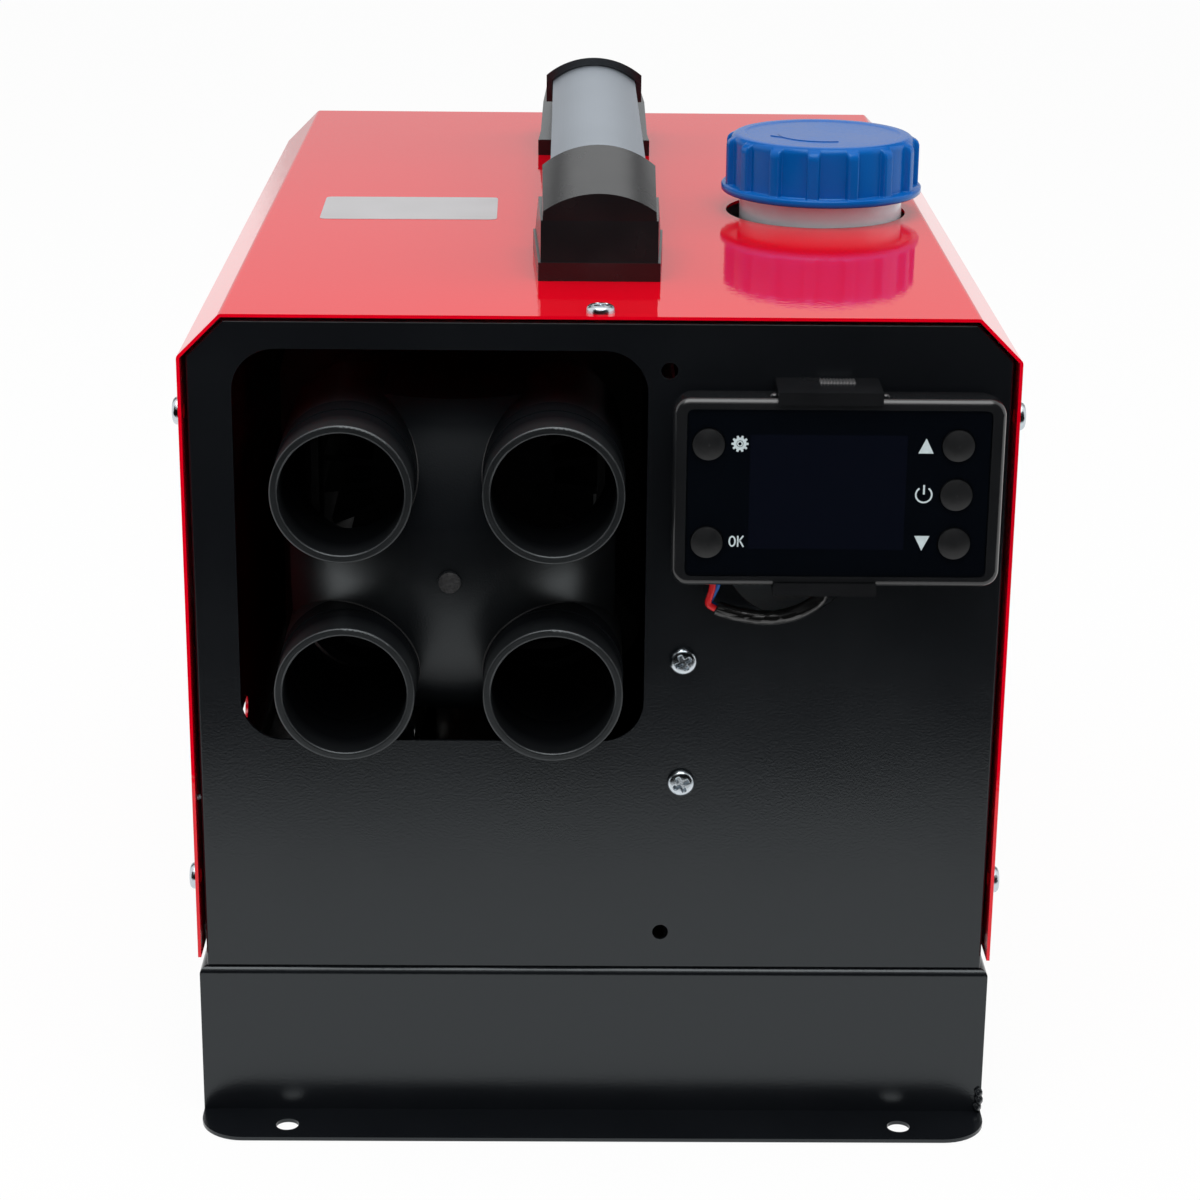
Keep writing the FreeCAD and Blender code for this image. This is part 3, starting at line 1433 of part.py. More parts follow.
def button_places():
    """Each button's name with its place on the controller's face."""
    return {"button_settings": (d.button_left, d.button_pitch),
            "button_ok": (d.button_left, -d.button_pitch),
            "button_up": (d.button_right, d.button_pitch), "button_power": (d.button_right, sized(0)),
            "button_down": (d.button_right, -d.button_pitch)}


def controller_bezel():
    """Front frame of the controller, with a ledge that the window rests on."""
    body = on_face("controller_bezel")
    half, high = d.bezel_width / 2, d.bezel_height / 2
    add(body, "XZ", 0, d.bezel_depth, box(-half, half, -high, high, d.bezel_corner))
    soften(body, d.bezel_edge, lambda middle, span: near(middle.y, 0) and span.YLength < TOUCH)
    half, high = d.window_width / 2, d.window_height / 2
    seat = d.window_recess + d.window_gauge
    cut(body, "XZ", -d.overrun, seat + d.overrun, box(-half, half, -high, high, d.window_corner))
    low = high - d.window_ledge
    cut(body, "XZ", 0, d.bezel_depth + d.overrun, box(-half, half, -low, low, d.window_corner))
    return body


def controller_window():
    """Dark glossy window with a hole for each button."""
    body = on_face("controller_window")
    half, high = d.window_width / 2 - d.window_fit, d.window_height / 2 - d.window_fit
    hole = d.button_radius + d.button_clearance
    add(body, "XZ", d.window_recess, d.window_gauge, box(-half, half, -high, high, d.window_corner),
        *[circle(x, z, hole) for x, z in button_places().values()])
    return body


def controller_case():
    """Back shell of the controller, with posts for its board."""
    body = on_face("controller_case")
    half, high = d.bezel_width / 2 - d.case_inset, d.bezel_height / 2 - d.case_inset
    wall, start = d.case_wall, d.bezel_depth
    add(body, "XZ", start, d.case_back - start, box(-half, half, -high, high, d.bezel_corner))
    cut(body, "XZ", start - d.overrun, d.case_back - start - wall + d.overrun,
        box(wall - half, half - wall, wall - high, high - wall, d.bezel_corner - wall))
    post = d.case_wall
    board_back = d.unit_board_depth + d.board_gauge
    x, z = half - wall - d.bezel_corner, high - wall - d.bezel_corner
    add(body, "XZ", board_back, d.case_back - wall / 2 - board_back,
        *[circle(x * i, z * j, post) for i in (1, -1) for j in (1, -1)])
    return body


def controller_board():
    """Controller board with one switch behind each button."""
    body = on_face("controller_board")
    wall = d.case_inset + d.case_wall + d.unit_board_margin
    half, high = d.bezel_width / 2 - wall, d.bezel_height / 2 - wall
    add(body, "XZ", d.unit_board_depth, d.board_gauge, box(-half, half, -high, high, d.window_corner))
    top = switch_top()
    for x, z in button_places().values():
        side = d.switch_side / 2
        add(body, "XZ", (top + d.unit_board_depth) / 2,
            (d.unit_board_depth - top) / 2 + d.board_gauge / 2,
            box(x - side, x + side, z - side, z + side))
        add(body, "XZ", top, d.unit_board_depth - top + d.board_gauge / 2, circle(x, z, d.button_stem))
    return body


def button_stem_end():
    """How deep a button's stem reaches behind the controller's face."""
    return d.window_recess + d.window_gauge + d.button_clearance + d.button_flange_gauge * 2


def switch_top():
    """Depth of the switches' tops: one travel and a clearance behind the buttons' stems."""
    return button_stem_end() + d.button_travel + d.button_clearance


def display_module():
    """Display behind the window, standing on the board."""
    body = on_face("display_module")
    half, high, shift = d.display_width / 2, d.display_height / 2, d.display_shift
    start = d.window_recess + d.window_gauge + d.display_gap
    add(body, "XZ", start, d.unit_board_depth - start, box(shift - half, shift + half, -high, high))
    return body


def button(label, x, z):
    """A domed round button with a flange behind the window and a stem for its switch."""
    body = new_body(label, d.panel_unit_x + x, unit_face, d.panel_unit_z + z)
    radius, dome = d.button_radius, d.button_dome
    edge = d.window_recess - d.button_rise
    flange = d.window_recess + d.window_gauge + d.button_clearance
    flange_end = flange + d.button_flange_gauge
    bow = (radius * radius + dome * dome) / (dome * 2)
    turn(body, "YZ", (edge - dome, 0, -bow), (edge, radius), (flange, radius), (flange, d.button_flange),
         (flange_end, d.button_flange), (flange_end, d.button_stem), (button_stem_end(), d.button_stem),
         (button_stem_end(), 0))
    return body


def controller_bracket():
    """Plate on the panel with a hook above and below that holds the controller."""
    body = on_face("controller_bracket")
    back, plate = panel_front - unit_face, d.case_back
    arm, lip, gap = d.clip_arm, d.clip_lip, d.clip_gap
    inside = d.bezel_height / 2 + gap
    outside, lip_end = inside + arm, inside - gap - lip
    tip = -gap - d.clip_lip_gauge
    start = d.display_shift - d.clip_width / 2
    add(body, "YZ", start, d.clip_width,
        outline((back, -outside), (back, outside), (tip, outside), (tip, lip_end), (-gap, lip_end),
                (-gap, inside),
                (plate, inside), (plate, -inside), (-gap, -inside), (-gap, -lip_end), (tip, -lip_end),
                (tip, -outside)))
    return body


# Routes from the controller's middle, on the case's front plane
CABLE_ROUTE = [(-34.5, -4.7, -39.2), (-26.0, -4.9, -44.2), (-12.0, -4.9, -44.4), (-0.5, -4.0, -36.1),
               (-4.0, 10.5, -28.6), (-13.0, 19.5, -25.6)]
RED_WIRE_ROUTE = [(-34.8, -5.7, -39.0), (-37.2, -5.7, -37.6), (-35.6, -5.7, -32.2), (-35.6, -5.7, -27.75)]
BLUE_WIRE_ROUTE = [(-34.8, -3.7, -39.0), (-36.8, -3.7, -37.8), (-34.0, -3.9, -32.0),
                   (-34.0, -3.9, -27.75)]


def from_controller(route):
    """A route's points in the part's own place."""
    middle = (d.panel_unit_x, front, d.panel_unit_z)
    return [tuple(start + d.fit * step for start, step in zip(middle, point)) for point in route]


def controller_wiring():
    """Sleeved cable that sags under the controller, and the wires that leave it."""
    cable = tube("controller_cable", from_controller(CABLE_ROUTE), d.cable_radius)
    red = tube("wire_red", from_controller(RED_WIRE_ROUTE), d.wire_radius)
    blue = tube("wire_blue", from_controller(BLUE_WIRE_ROUTE), d.wire_radius)
    return [cable, red, blue]


def harness_plug():
    """Connector on the cable's inner end, in line with it."""
    body = new_body("harness_plug", *from_controller(CABLE_ROUTE)[-1])
    half, high = d.plug_width / 2, d.plug_height / 2
    way = Vector(*CABLE_ROUTE[-1]) - Vector(*CABLE_ROUTE[-2])
    body.Placement.Rotation = FreeCAD.Rotation(Vector(0, 1, 0), way)
    add(body, "XZ", 0, d.plug_length, box(-half, half, -high, high, d.cable_radius))
    return body


# The whole part

def build():
    """Make every sub-part and return them in the order of assembly."""
    screw = screw_form("screw_form", d.screw_length)
    casing = [base_tray(), front_panel(), rear_panel(), rear_gland(), cover()]
    fasteners = [cover_screws(screw), panel_screws(screw), floor_screws(screw), handle_screws(screw)]
    handle = [handle_mount("handle_front_mount", 1), handle_mount("handle_rear_mount", -1), handle_grip()]
    heater = [outlet_hood(), outlet_collars(), heater_upper_shell(), heater_lower_shell(),
              heat_exchanger(), burner_tube(),
              combustion_housing(), glow_plug(), motor_can(), motor_bearings(), rotor_shaft(),
              combustion_impeller(), blower_wheel(), intake_grille(), overheat_sensor(), control_board(),
              mount_gasket(), pipe("exhaust_pipe", -d.pipe_y, d.exhaust_radius),
              pipe("combustion_air_pipe", d.pipe_y, d.air_radius), heater_bracket(), mount_nuts()]
    fuel = [heat_shield(), fuel_tank(), fuel_cap(), cap_seal(), fuel_fitting(), fuel_filter(),
            fuel_pump(),
            pump_clamp(), *fuel_lines()]
    controller = [controller_bezel(), controller_window(), controller_case(), controller_board(),
                  display_module(),
                  controller_bracket(), *[button(label, x, z)
                                          for label, (x, z) in button_places().items()],
                  *controller_wiring(), harness_plug()]
    return casing + fasteners + handle + heater + fuel + controller


def check(parts):
    """Stop if a feature failed, a cut removed nothing or a sub-part isn't a sound solid."""
    DOC.recompute()
    for item in DOC.Objects:
        if "Invalid" in item.State or "Error" in item.State:
            raise RuntimeError(f"{item.Label} failed: {item.State}")
        if item.isDerivedFrom("PartDesign::Pocket") or item.isDerivedFrom("PartDesign::Groove"):
            if item.Shape.Volume >= item.BaseFeature.Shape.Volume:
                raise RuntimeError(f"{item.Label} removes nothing")
    for part in parts:
        if part.Shape.isNull() or not part.Shape.isValid() or not part.Shape.Solids:
            raise RuntimeError(f"{part.Label} has no sound shape")


def main():
    """Build the part, check it and write one file per sub-part."""
    parts = build()
    check(parts)
    os.makedirs("parts", exist_ok=True)
    for part in parts:
        part.Shape.exportStep(os.path.join("parts", f"{part.Label}.step"))
    print(len(parts), "sub-parts")


main()
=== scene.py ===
"""Looks of the parking heater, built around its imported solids, in metres."""
import logging
import math
from dataclasses import dataclass, replace
from enum import Enum
from typing import ClassVar

import bmesh
import bpy
import numpy as np
from mathutils import Matrix, Vector


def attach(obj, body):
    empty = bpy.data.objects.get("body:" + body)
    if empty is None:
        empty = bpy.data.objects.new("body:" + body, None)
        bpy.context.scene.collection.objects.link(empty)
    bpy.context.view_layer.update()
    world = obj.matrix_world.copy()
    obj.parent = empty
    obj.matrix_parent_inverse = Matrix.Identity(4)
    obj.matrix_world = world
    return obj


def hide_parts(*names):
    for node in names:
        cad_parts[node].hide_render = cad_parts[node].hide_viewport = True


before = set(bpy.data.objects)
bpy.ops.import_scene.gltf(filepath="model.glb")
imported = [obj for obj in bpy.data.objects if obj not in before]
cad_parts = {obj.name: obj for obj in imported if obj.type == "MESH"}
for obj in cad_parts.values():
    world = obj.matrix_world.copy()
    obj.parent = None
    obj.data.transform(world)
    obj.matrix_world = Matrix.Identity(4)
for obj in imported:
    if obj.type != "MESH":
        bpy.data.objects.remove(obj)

LOG = logging.getLogger("parking_heater")
MM = 0.001
Colour = tuple[float, float, float]
Point = tuple[float, float, float]
Pair = tuple[float, float]
Spans = tuple[Pair, Pair, Pair]
Waves = tuple[float, float, float]
Grid = tuple[int, int]
Node = bpy.types.Node
Socket = bpy.types.NodeSocket
Piece = bpy.types.Object
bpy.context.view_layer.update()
MADE: dict[str, bpy.types.Material] = {}

# Directions of the shared frame
RIGHT, AHEAD, BACK, UP = (1, 0, 0), (0, -1, 0), (0, 1, 0), (0, 0, 1)

# What all finishes have in common
WHITE, BLACK = (1.0, 1.0, 1.0, 1.0), (0.0, 0.0, 0.0, 1.0)
COAT_ROUGHNESS = 0.08
SCATTER_DEPTH = 4.0 * MM
PATCH_DEPTH = 3.0
TONE_STOPS = (0.32, 0.68)
GLOSS_SPAN = (0.3, 0.7)
EVEN = (1.0, 1.0, 1.0)
DRAWN_STRETCH = (1.0, 0.012, 1.0)

# Meshes: which points are one, which edges are nothing, how small a closed middle starts, and
# how fine round outlines and lumps are
SAME_POINT = 2e-6
NO_EDGE = 1e-7
PIN_SHARE = 1e-4
PIN_RADIUS = 1e-6
OUTLINE_STEPS = 240
LUMP_GRID = (28, 40)
LUMP_START = 0.7


class Detail(Enum):
    """What a finish's fine relief looks like."""

    GRAIN = "even grain"
    PEEL = "soft ripples of wet paint"
    DRAWN = "lines along the part's length"
    CAST = "pits and lumps of a casting"
    CREASED = "creases of a shrunk sleeve"
    TRACKS = "tracks under a solder mask"


RELIEF_DEPTH = {Detail.GRAIN: 4.0, Detail.PEEL: 0.5, Detail.DRAWN: 2.0, Detail.CAST: 6.0}


@dataclass(frozen=True)
class Graph:
    """The nodes of a material or of the world, and the steps that build them."""

    tree: bpy.types.NodeTree

    def put(self, node: Node, inputs: dict) -> Node:
        """Fill a node's inputs: a socket is linked, anything else is set on the input itself.

        Args:
            node: The node.
            inputs: What goes in, by the input's name or number.

        Returns:
            The same node.
        """
        for name, value in inputs.items():
            if isinstance(value, Socket):
                self.tree.links.new(value, node.inputs[name])
            else:
                node.inputs[name].default_value = value
        return node

    def add(self, kind: str, inputs: dict, **settings: str | bool) -> Node:
        """Add a node.

        Args:
            kind: Its type, less the prefix that all have.
            inputs: What goes in, by the input's name or number.
            settings: What the node itself is set to.

        Returns:
            The new node.
        """
        node = self.tree.nodes.new(f"ShaderNode{kind}")
        for name, value in settings.items():
            setattr(node, name, value)
        return self.put(node, inputs)

    def maths(self, operation: str, *values: Socket | float, clamp: bool = False) -> Socket:
        """The result of one sum on sockets and numbers, kept between nought and one by clamp."""
        sums = self.add("Math", dict(enumerate(values)), operation=operation, use_clamp=clamp)
        return sums.outputs[0]

    def ranged(self, value: Socket, given: Pair, wanted: Pair) -> Socket:
        """A value mapped from the range it comes in onto the one it leaves in."""
        names = ("Value", "From Min", "From Max", "To Min", "To Max")
        return self.add("MapRange", dict(zip(names, (value, *given, *wanted)))).outputs["Result"]

    def place(self) -> Socket:
        """The object coordinates."""
        return self.add("TexCoord", {}).outputs["Object"]

    def surface(self, inputs: dict) -> Node:
        """Fill the surface shader's inputs, and return the shader."""
        return self.put(self.tree.nodes["Principled BSDF"], inputs)

    def noise(self, scale: float, depth: float, stretch: Point = EVEN) -> Socket:
        """Add a noise on object coordinates.

        Args:
            scale: Noise cells per metre.
            depth: Octaves of finer noise.
            stretch: How much faster the noise runs along each axis.

        Returns:
            The socket that gives the noise.
        """
        turned = self.add("Mapping", {"Vector": self.place(), "Scale": stretch}).outputs["Vector"]
        noise = self.add("TexNoise", {"Vector": turned, "Scale": scale, "Detail": depth})
        return noise.outputs["Fac"]

    def seen(self) -> Socket:
        """One where a camera, glossy or transmitted ray looks, and nought for the rest.

        Returns:
            The socket that gives it.
        """
        rays = self.add("LightPath", {}).outputs
        total = rays["Is Camera Ray"]
        for name in ("Is Glossy Ray", "Is Transmission Ray"):
            total = self.maths("ADD", total, rays[name], clamp=True)
        return total

    def blend(self, share: Socket, one: Node, other: Node, end: str) -> None:
        """Mix two shaders by a share, and lead the mix to the output node of that name."""
        mix = self.add("MixShader", {"Fac": share, 1: one.outputs[0], 2: other.outputs[0]})
        self.put(self.tree.nodes[end], {"Surface": mix.outputs[0]})


def new_material(name: str) -> tuple[bpy.types.Material, Graph]:
    """Make a material that works by nodes.

    Args:
        name: The material's name.

    Returns:
        The material and its nodes.
    """
    made = bpy.data.materials.new(name)
    made.use_nodes = True
    return made, Graph(made.node_tree)


@dataclass(frozen=True)
class Finish:
    """One surface finish: two close tones, a range of roughness and a fine relief."""

    name: str
    light: Colour
    dark: Colour
    roughness: Pair
    patch: float = 40.0
    grain: float = 1400.0
    relief: float = 0.05
    detail: Detail = Detail.GRAIN
    metallic: float = 0.0
    specular: float = 0.5
    coat: float = 0.0
    scatter: float = 0.0
    transmission: float = 0.0
    tint: Colour = EVEN

    def material(self) -> bpy.types.Material:
        """Make the material once, and return it.

        Returns:
            The material that carries this finish.
        """
        if self.name in MADE:
            return MADE[self.name]
        MADE[self.name], graph = new_material(f"{self.name}_finish")
        patches = graph.noise(self.patch, PATCH_DEPTH)
        tones = graph.add("ValToRGB", {"Fac": patches})
        for step, at, tone in zip(tones.color_ramp.elements, TONE_STOPS, (self.dark, self.light)):
            step.position = at
            step.color = (*tone, 1.0)
        bump = graph.add("Bump", {"Strength": self.relief, "Distance": 1.0 / self.grain,
                                  "Height": self.height(graph)})
        graph.surface({
            "Base Color": tones.outputs["Color"], "Metallic": self.metallic,
            "Roughness": graph.ranged(patches, GLOSS_SPAN, self.roughness),
            "Specular IOR Level": self.specular, "Specular Tint": (*self.tint, 1.0),
            "Coat Weight": self.coat, "Coat Roughness": COAT_ROUGHNESS,
            "Subsurface Weight": self.scatter, "Subsurface Radius": (SCATTER_DEPTH,) * 3,
            "Transmission Weight": self.transmission, "Normal": bump.outputs["Normal"]})
        self.trim(graph)
        return MADE[self.name]

    def height(self, graph: Graph) -> Socket:
        """Add the relief's height field.

        Args:
            graph: The material's nodes.

        Returns:
            The socket that gives the height.
        """
        if self.detail in RELIEF_DEPTH:
            stretch = DRAWN_STRETCH if self.detail is Detail.DRAWN else EVEN
            return graph.noise(self.grain, RELIEF_DEPTH[self.detail], stretch)
        feature = "DISTANCE_TO_EDGE" if self.detail is Detail.CREASED else "F1"
        cells = graph.add("TexVoronoi", {"Vector": graph.place(), "Scale": self.grain},
                          feature=feature, distance="EUCLIDEAN")
        return cells.outputs["Distance"]

    def trim(self, graph: Graph) -> None:
        """Leave the plain finish as it is; a finish with a pattern of its own overrides this."""


@dataclass(frozen=True)
class WindowFinish(Finish):
    """Dark gloss window, through which the unlit display shows as a bluish rectangle."""

    middle: Point = (0.0, 0.0, 0.0)
    display: Pair = (0.02, 0.02)
    glow: Colour = (0.004, 0.005, 0.009)

    def trim(self, graph: Graph) -> None:
        """Mix the display's tone in where both offsets from its middle are under half its sides.

        Args:
            graph: The material's nodes, whose shader has the window's plain tones.
        """
        axes = graph.add("SeparateXYZ", {"Vector": graph.place()}).outputs
        inside = [graph.maths("COMPARE", axes[axis], self.middle[axis], half)
                  for axis, half in zip((0, 2), self.display)]
        mix = graph.add("Mix", {"Factor": graph.maths("MULTIPLY", *inside)}, data_type="RGBA")
        plain, shown = [socket for socket in mix.inputs if socket.type == "RGBA"]
        shown.default_value = (*self.glow, 1.0)
        tones = graph.surface({}).inputs["Base Color"].links[0].from_socket
        graph.tree.links.new(tones, plain)
        mixed = [socket for socket in mix.outputs if socket.type == "RGBA"]
        graph.surface({"Base Color": mixed[0]})


@dataclass(frozen=True)
class PaintedSheenFinish(Finish):
    """A finish whose sheen is painted: its specular level, a painted highlight and painted shade,
    changes along one axis, and grows to both sides of a middle line.
    """

    axis: str = "Z"
    stops: tuple[Pair, ...] = ((0.0, 0.5), (1.0, 0.5))
    middle: float = 0.0
    sides: tuple[float, ...] = (0.0, 1.0, 1.0)

    def trim(self, graph: Graph) -> None:
        """Lead the painted sheen from stop to stop, times its gain with the distance from the
        middle line.

        Args:
            graph: The material's nodes.
        """
        axes = graph.add("SeparateXYZ", {"Vector": graph.place()}).outputs
        start, end = self.stops[0][0], self.stops[-1][0]
        share = graph.ranged(axes[self.axis], (start, end), (0.0, 1.0))
        ramp = graph.add("ValToRGB", {"Fac": share})
        steps = ramp.color_ramp.elements
        while len(steps) < len(self.stops):
            steps.new(0.5)
        for step, (at, level) in zip(steps, self.stops):
            step.position = (at - start) / (end - start)
            step.color = (level, level, level, 1.0)
        away = graph.maths("ABSOLUTE", graph.maths("SUBTRACT", axes["X"], self.middle))
        near, far, most = self.sides
        gain = graph.ranged(away, (near, far), (1.0, most))
        # Painted highlight and painted shade: the specular level is raised or lowered by place, not
        # by the plastic itself.
        sheen = graph.maths("MULTIPLY", gain, ramp.outputs["Color"])
        graph.surface({"Specular IOR Level": sheen})


RED_ENAMEL = Finish(
    "red_enamel", (0.76, 0.0, 0.012), (0.73, 0.0, 0.011), (0.025, 0.045),
    6.0, 700.0, 0.014, Detail.PEEL)
BLACK_POWDER = Finish(
    "black_powder", (0.0060, 0.0070, 0.0088), (0.0050, 0.0058, 0.0074), (0.2, 0.25),
    25.0, 1500.0, 0.06, specular=0.55, tint=(0.9, 0.97, 1.0))
BLACK_PLASTIC = Finish(
    "black_plastic", (0.0082, 0.0086, 0.0096), (0.0066, 0.0069, 0.0078), (0.22, 0.28),
    60.0, 2200.0, 0.08, tint=(0.94, 0.98, 1.0))
MOUNT_PLASTIC = replace(BLACK_PLASTIC, name="mount_plastic", specular=0.7)
# Painted sheen: the collars' specular level is high at their rims and falls toward their roots, a
# painted highlight and painted shade.
COLLAR_PLASTIC = PaintedSheenFinish(
    "collar_plastic", (0.0050, 0.0058, 0.0070), (0.0040, 0.0047, 0.0058), (0.38, 0.44),
    45.0, 1800.0, 0.12, tint=(0.9, 0.97, 1.0), axis="Y",
    stops=((-0.2033, 0.9), (-0.2025, 1.0), (-0.1985, 1.0), (-0.1915, 0.08), (-0.1700, 0.02)))
# Painted sheen: the hood's specular level dips over a band above the gate, from about 0.198 to
# 0.226 m high, and grows toward the side valleys, a painted shade and painted highlight.
HOOD_PLASTIC = replace(
    COLLAR_PLASTIC, name="hood_plastic", roughness=(0.36, 0.42), axis="Z",
    stops=((0.160, 0.45), (0.180, 0.5), (0.198, 0.06), (0.226, 0.05), (0.242, 0.5)),
    middle=-0.0446, sides=(0.012, 0.030, 2.6))
SHELL_PLASTIC = Finish("shell_plastic", (0.016, 0.016, 0.016), (0.011, 0.011, 0.011), (0.45, 0.55))
GRIP_ALUMINIUM = Finish(
    "grip_aluminium", (0.44, 0.49, 0.55), (0.40, 0.45, 0.51), (0.4, 0.46),
    12.0, 1600.0, 0.06, Detail.DRAWN, metallic=1.0)
CAST_ALUMINIUM = Finish(
    "cast_aluminium", (0.34, 0.34, 0.35), (0.22, 0.22, 0.23), (0.4, 0.55),
    60.0, 700.0, 0.3, Detail.CAST, metallic=1.0)
SHIELD_ALUMINIUM = Finish(
    "shield_aluminium", (0.66, 0.67, 0.68), (0.6, 0.61, 0.62), (0.28, 0.38),
    20.0, 1200.0, 0.08, Detail.DRAWN, metallic=1.0)
BURNER_STEEL = Finish(
    "burner_steel", (0.46, 0.44, 0.42), (0.36, 0.32, 0.29), (0.32, 0.48),
    30.0, 1500.0, 0.1, metallic=1.0)
ZINC = Finish(
    "zinc", (0.66, 0.71, 0.75), (0.52, 0.58, 0.63), (0.16, 0.28), 300.0, 2600.0, 0.08, metallic=1.0)
FITTING_BRASS = Finish(
    "fitting_brass", (0.7, 0.5, 0.2), (0.62, 0.43, 0.16), (0.22, 0.34),
    200.0, 2400.0, 0.08, Detail.DRAWN, metallic=1.0)
BLACK_RUBBER = Finish("black_rubber", (0.012, 0.012, 0.012), (0.008, 0.008, 0.008), (0.55, 0.7))
SLEEVE_RUBBER = Finish(
    "sleeve_rubber", (0.006, 0.006, 0.006), (0.004, 0.004, 0.004), (0.08, 0.16),
    120.0, 150.0, 0.3, Detail.CREASED, coat=0.6)
TANK_PLASTIC = Finish(
    "tank_plastic", (0.72, 0.79, 0.83), (0.67, 0.74, 0.78), (0.2, 0.28),
    18.0, 900.0, 0.05, coat=0.4, scatter=0.25)
FILTER_PLASTIC = Finish(
    "filter_plastic", (0.8, 0.78, 0.66), (0.74, 0.71, 0.58), (0.14, 0.22),
    80.0, 1200.0, 0.04, transmission=0.5)
LINE_PLASTIC = Finish(
    "line_plastic", (0.16, 0.27, 0.48), (0.11, 0.2, 0.4), (0.2, 0.3),
    120.0, 1800.0, 0.04, transmission=0.25)
CAP_PLASTIC = Finish(
    "cap_plastic", (0.0001, 0.104, 0.41), (0.0001, 0.094, 0.38), (0.18, 0.24),
    60.0, 1300.0, 0.07, specular=0.3, tint=(0.6, 0.85, 1.0))
BEZEL_PLASTIC = Finish(
    "bezel_plastic", (0.0098, 0.0104, 0.0115), (0.008, 0.0086, 0.0096), (0.13, 0.2),
    80.0, 2400.0, 0.05, coat=0.3)
BUTTON_PLASTIC = Finish(
    "button_plastic", (0.0078, 0.0085, 0.0095), (0.006, 0.0066, 0.0075), (0.4, 0.48),
    220.0, 3000.0, 0.14)
WINDOW_PLASTIC = WindowFinish(
    "window_plastic", (0.0016, 0.0024, 0.0040), (0.0013, 0.0020, 0.0034), (0.03, 0.06),
    30.0, 800.0, 0.01, middle=(67.0 * MM, 0.0, 213.0 * MM),
    display=(23.0 * MM, 17.5 * MM), glow=(0.0026, 0.0034, 0.0070))
CIRCUIT_BOARD = Finish(
    "circuit_board", (0.012, 0.13, 0.05), (0.008, 0.09, 0.035), (0.3, 0.4),
    400.0, 500.0, 0.3, Detail.TRACKS)
DISPLAY_GLASS = Finish("display_glass", (0.006, 0.008, 0.016), (0.005, 0.006, 0.013), (0.08, 0.14))
WIRE_RED = Finish("wire_red_plastic", (0.62, 0.008, 0.012), (0.55, 0.006, 0.01), (0.2, 0.28))
WIRE_BLUE = Finish("wire_blue_plastic", (0.004, 0.1, 0.4), (0.003, 0.08, 0.34), (0.2, 0.28))
STICKER_PAPER = Finish(
    "sticker_paper", (0.47, 0.465, 0.475), (0.43, 0.425, 0.435), (0.3, 0.4), 50.0, 900.0, 0.03)
ICON_INK = Finish(
    "icon_ink", (0.55, 0.64, 0.66), (0.49, 0.57, 0.59), (0.4, 0.5), 900.0, 4000.0, 0.05)
GATE_GREY = Finish(
    "gate_grey", (0.022, 0.022, 0.023), (0.012, 0.012, 0.013), (0.5, 0.6),
    500.0, 1500.0, 0.3, Detail.CAST)
PAD_GREY = Finish("pad_grey", (0.07, 0.07, 0.072), (0.05, 0.05, 0.052), (0.45, 0.55))


@dataclass(frozen=True)
class Surface:
    """A grid of points and the faces between them."""

    points: np.ndarray
    faces: np.ndarray

    def moved(self, origin: Point, across: Point = RIGHT, up: Point = BACK,
              out: Point = UP) -> "Surface":
        """Carry the surface's own x, y and z onto three directions at a place.

        Args:
            origin: Where its own origin goes.
            across: Direction of the surface's x.
            up: Direction of its y.
            out: Direction of its z.

        Returns:
            The surface in its place.
        """
        turn = np.array([across, up, out], float)
        return Surface(self.points @ turn + np.array(origin, float), self.faces)


def skin(points: np.ndarray, closed: bool = True) -> Surface:
    """Lay quads between the points of a grid, row by row.

    Args:
        points: The points, as rows by columns by three.
        closed: Whether each row joins up with its own start.

    Returns:
        The surface.
    """
    rows, columns = points.shape[:2]
    row = np.arange(rows - 1)[:, None]
    column = np.arange(columns if closed else columns - 1)[None, :]
    after = (column + 1) % columns
    corners = (row * columns + column, row * columns + after,
               (row + 1) * columns + after, (row + 1) * columns + column)
    faces = np.stack(np.broadcast_arrays(*corners), -1).reshape(-1, 4)
    return Surface(points.reshape(-1, 3), faces)


def placed(name: str, data: bpy.types.ID) -> Piece:
    """Make an object and put it into the scene.

    Args:
        name: The object's name.
        data: Its mesh, curve, lamp or camera.

    Returns:
        The object.
    """
    item = bpy.data.objects.new(name, data)
    bpy.context.scene.collection.objects.link(item)
    return item


def make_piece(name: str, surfaces: list[Surface], finish: Finish, body: str = "casing",
               smooth: bool = True) -> Piece:
    """Put surfaces into one mesh, close its seams and ride it on a body.

    Args:
        name: The piece's name.
        surfaces: The surfaces it is made of.
        finish: Its finish.
        body: The body it moves with.
        smooth: Whether its faces are shaded smooth.

    Returns:
        The finished piece.
    """
    starts = np.cumsum([0] + [len(surface.points) for surface in surfaces[:-1]])
    points = np.concatenate([surface.points for surface in surfaces])
    faces = np.concatenate([surface.faces + start for surface, start in zip(surfaces, starts)])
    mesh = bpy.data.meshes.new(name)
    mesh.from_pydata(points.tolist(), [], faces.tolist())
    work = bmesh.new()
    work.from_mesh(mesh)
    bmesh.ops.remove_doubles(work, verts=work.verts, dist=SAME_POINT)
    bmesh.ops.dissolve_degenerate(work, edges=work.edges, dist=NO_EDGE)
    bmesh.ops.recalc_face_normals(work, faces=work.faces)
    work.to_mesh(mesh)
    work.free()
    mesh.polygons.foreach_set("use_smooth", [smooth] * len(mesh.polygons))
    return settle(placed(name, mesh), finish, body)


def settle(piece: Piece, finish: Finish, body: str) -> Piece:
    """Give a new piece its finish and body, and report it.

    Args:
        piece: The new piece.
        finish: Its finish.
        body: The body it moves with.

    Returns:
        The same piece.
    """
    piece.data.materials.append(finish.material())
    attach(piece, body)
    LOG.info("piece %s rides on %s", piece.name, body)
    return piece


